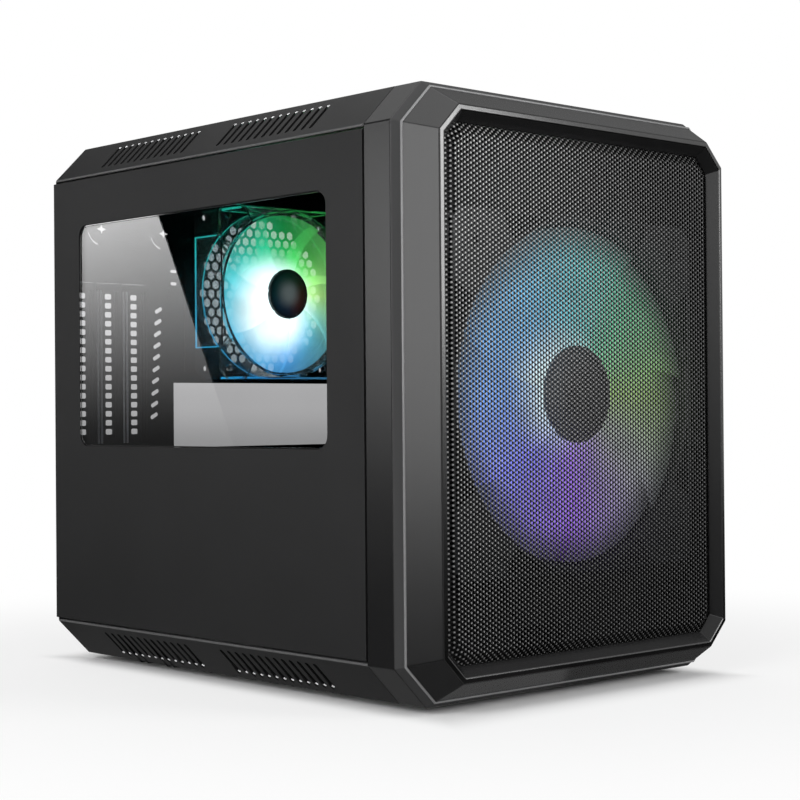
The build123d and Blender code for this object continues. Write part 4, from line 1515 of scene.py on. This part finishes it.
def make_floor():
    """A white ground that keeps a soft part of the object's shadow, with a painted shadow: its glow is
    taken away under the body and close round it.
    """
    floor_half = 15.0
    bm = bmesh.new()
    bmesh.ops.create_grid(bm, x_segments=1, y_segments=1, size=floor_half)
    floor = link("floor", mesh_from(bm, "floor"))
    material, graph = new_material("white_ground")
    graph.dress({"Base Color": rgba(0.85), "Roughness": 0.9, "Specular IOR Level": 0.0})
    distance = graph.add("VectorMath", {0: graph.place()}, "Value", operation="LENGTH")
    outward = graph.ramp(distance, 0.2, 0.6, 0.72, 1.0)
    shadow_half_y = 0.205
    # Painted shadow: no glow under the body and close round it.
    outside_painted_shadow = graph.ramp(reach_round_body(graph, half_width, shadow_half_y), 0.8, 1.0)
    share = graph.product(seen_rays(graph), graph.product(outward, outside_painted_shadow))
    graph.show_either(share, graph.add("Emission", {"Strength": 1.0}))
    floor.data.materials.append(material)


def area_light(name, place, target, size, power):
    data = bpy.data.lights.new(name, "AREA")
    data.shape = "RECTANGLE"
    data.size, data.size_y = size
    data.energy = power
    light = link(name, data)
    light.location = place
    aim = Vector(target) - Vector(place)
    light.rotation_mode = "QUATERNION"
    light.rotation_quaternion = aim.to_track_quat("-Z", "Y")


def card(name, corners, level, through_glass=False):
    """A studio card that only glossy reflections show, and glass too where asked.

    Its light is one even level, or a level that a function works out from the place.
    """
    bm = bmesh.new()
    bm.faces.new([bm.verts.new(c) for c in corners])
    obj = link(name, mesh_from(bm, name))
    material, graph = new_material(name)
    strength = level(graph) if callable(level) else level
    graph.show(graph.add("Emission", {"Strength": strength}))
    obj.data.materials.append(material)
    for ray in ("camera", "diffuse", "volume_scatter", "shadow"):
        setattr(obj, f"visible_{ray}", False)
    obj.visible_transmission = through_glass
    return obj


def window_card_level(graph):
    """White beyond a slanted edge, brighter upward, and a soft patch that the window misses."""
    place = graph.axes()
    y, z = place["Y"], place["Z"]
    (y_a, z_a), (y_b, z_b) = card_edge
    lean = (y_b - y_a) / (z_b - z_a)
    edge = graph.maths("SUBTRACT", y, graph.product(z, lean))
    rise = graph.ramp(z, card_glow[0], card_glow[1], smooth=False)
    field = graph.product(
        graph.maths("GREATER_THAN", edge, y_a - z_a * lean),
        graph.maths("ADD", graph.maths("POWER", rise, 1.8), 0.025),
        card_glow[2],
        graph.maths("LESS_THAN", z, patch_edge[1]),
    )
    fore = graph.product(
        graph.maths("LESS_THAN", y, patch_edge[0]),
        graph.ramp(z, 0.05, 0.28),
        graph.ramp(y, 0.55, 0.80),
        patch_levels[0],
    )
    above = graph.product(
        graph.maths("GREATER_THAN", z, patch_edge[1]), graph.ramp(y, 1.8, 1.1), patch_levels[1]
    )
    patch = graph.product(graph.maths("MAXIMUM", fore, above), graph.ramp(z, 0.38, 0.78, 1.0, 0.0))
    return graph.maths("ADD", field, patch)


def view_level(graph):
    """The bright room behind the rear wall as the tinted window shows it."""
    z = graph.axes()["Z"]
    low, high = graph.ramp(z, 0.125, 0.170, 0.85, 1.25), graph.ramp(z, 0.17, 0.24, 0.0, 0.4)
    return graph.maths("ADD", low, high)


def mat(name, low, high, glow):
    """A card on the ground with a faint glow close round the body."""
    corners = [(*corner, 1 * MM) for corner in rectangle_loop(low[0], high[0], low[1], high[1])]
    card(name, corners, lambda graph: graph.ramp(
        reach_round_body(graph, 0.13, 0.17), 1.0, 1.5, glow, 0.0
    ))


def make_cards():
    """Cards that keep the white room out of the dark sides, and the light in the window."""
    card("window_card", [
        (card_x, 0.5, 0), (card_x, 2.4, 0), (card_x, 2.4, 1.4), (card_x, 0.5, 1.4)
    ], window_card_level, through_glass=True)
    view = card("view_card", [
        (-0.1, 0.5, 0.02), (1.0, 0.5, 0.02), (1.0, 0.5, 0.5), (-0.1, 0.5, 0.5)
    ], view_level, through_glass=True)
    view.visible_glossy = False
    card("rear_card", [(-1.2, 2.4, 0), (1.8, 2.4, 0), (1.8, 1.0, 2.4), (-1.2, 1.0, 2.4)], 0.02)
    card("right_card", [(1.5, -0.6, 0.9), (1.5, 2.4, 0.9), (0.5, 2.4, 2.4), (0.5, -0.6, 2.4)], 0.35)
    card("over_card", [(-0.8, -0.7, 1.3), (0.3, -0.7, 1.3), (0.3, 0.4, 1.3), (-0.8, 0.4, 1.3)], 3.0)
    mat("left_mat", (-3.0, -3.0), (0.0, 2.0), mat_glows[0])
    mat("front_mat", (0.0, -3.0), (1.8, 0.4), mat_glows[1])


def make_lights():
    """Soft boxes to the left and in front, with weak fills above and behind."""
    area_light("left_box", (-1.5, -0.42, 0.70), (0, -0.1, 0.70), (0.8, 1.3), 24)
    area_light("slant_box", (-1.05, -1.65, 0.58), (0, 0, 0.4), (0.9, 0.6), 3.6)
    area_light("front_box", (0.85, -1.75, 0.95), (0, -0.1, 0.95), (0.8, 1.2), 30)
    area_light("top_box", (0.35, 1.0, 1.65), (0, 0, body_mid), (1.6, 0.9), 3.5)
    area_light("back", (0.6, 2.0, 1.0), (0, 0, body_mid), (1.2, 1.2), 8)


make_covers()
make_panels()
make_plain_pieces()
make_rear_panel()
make_slot_covers()
make_tray()
make_fans()
make_camera()
make_world(world_level)
make_floor()
make_cards()
make_lights()
bpy.context.scene.view_settings.view_transform = "Standard"
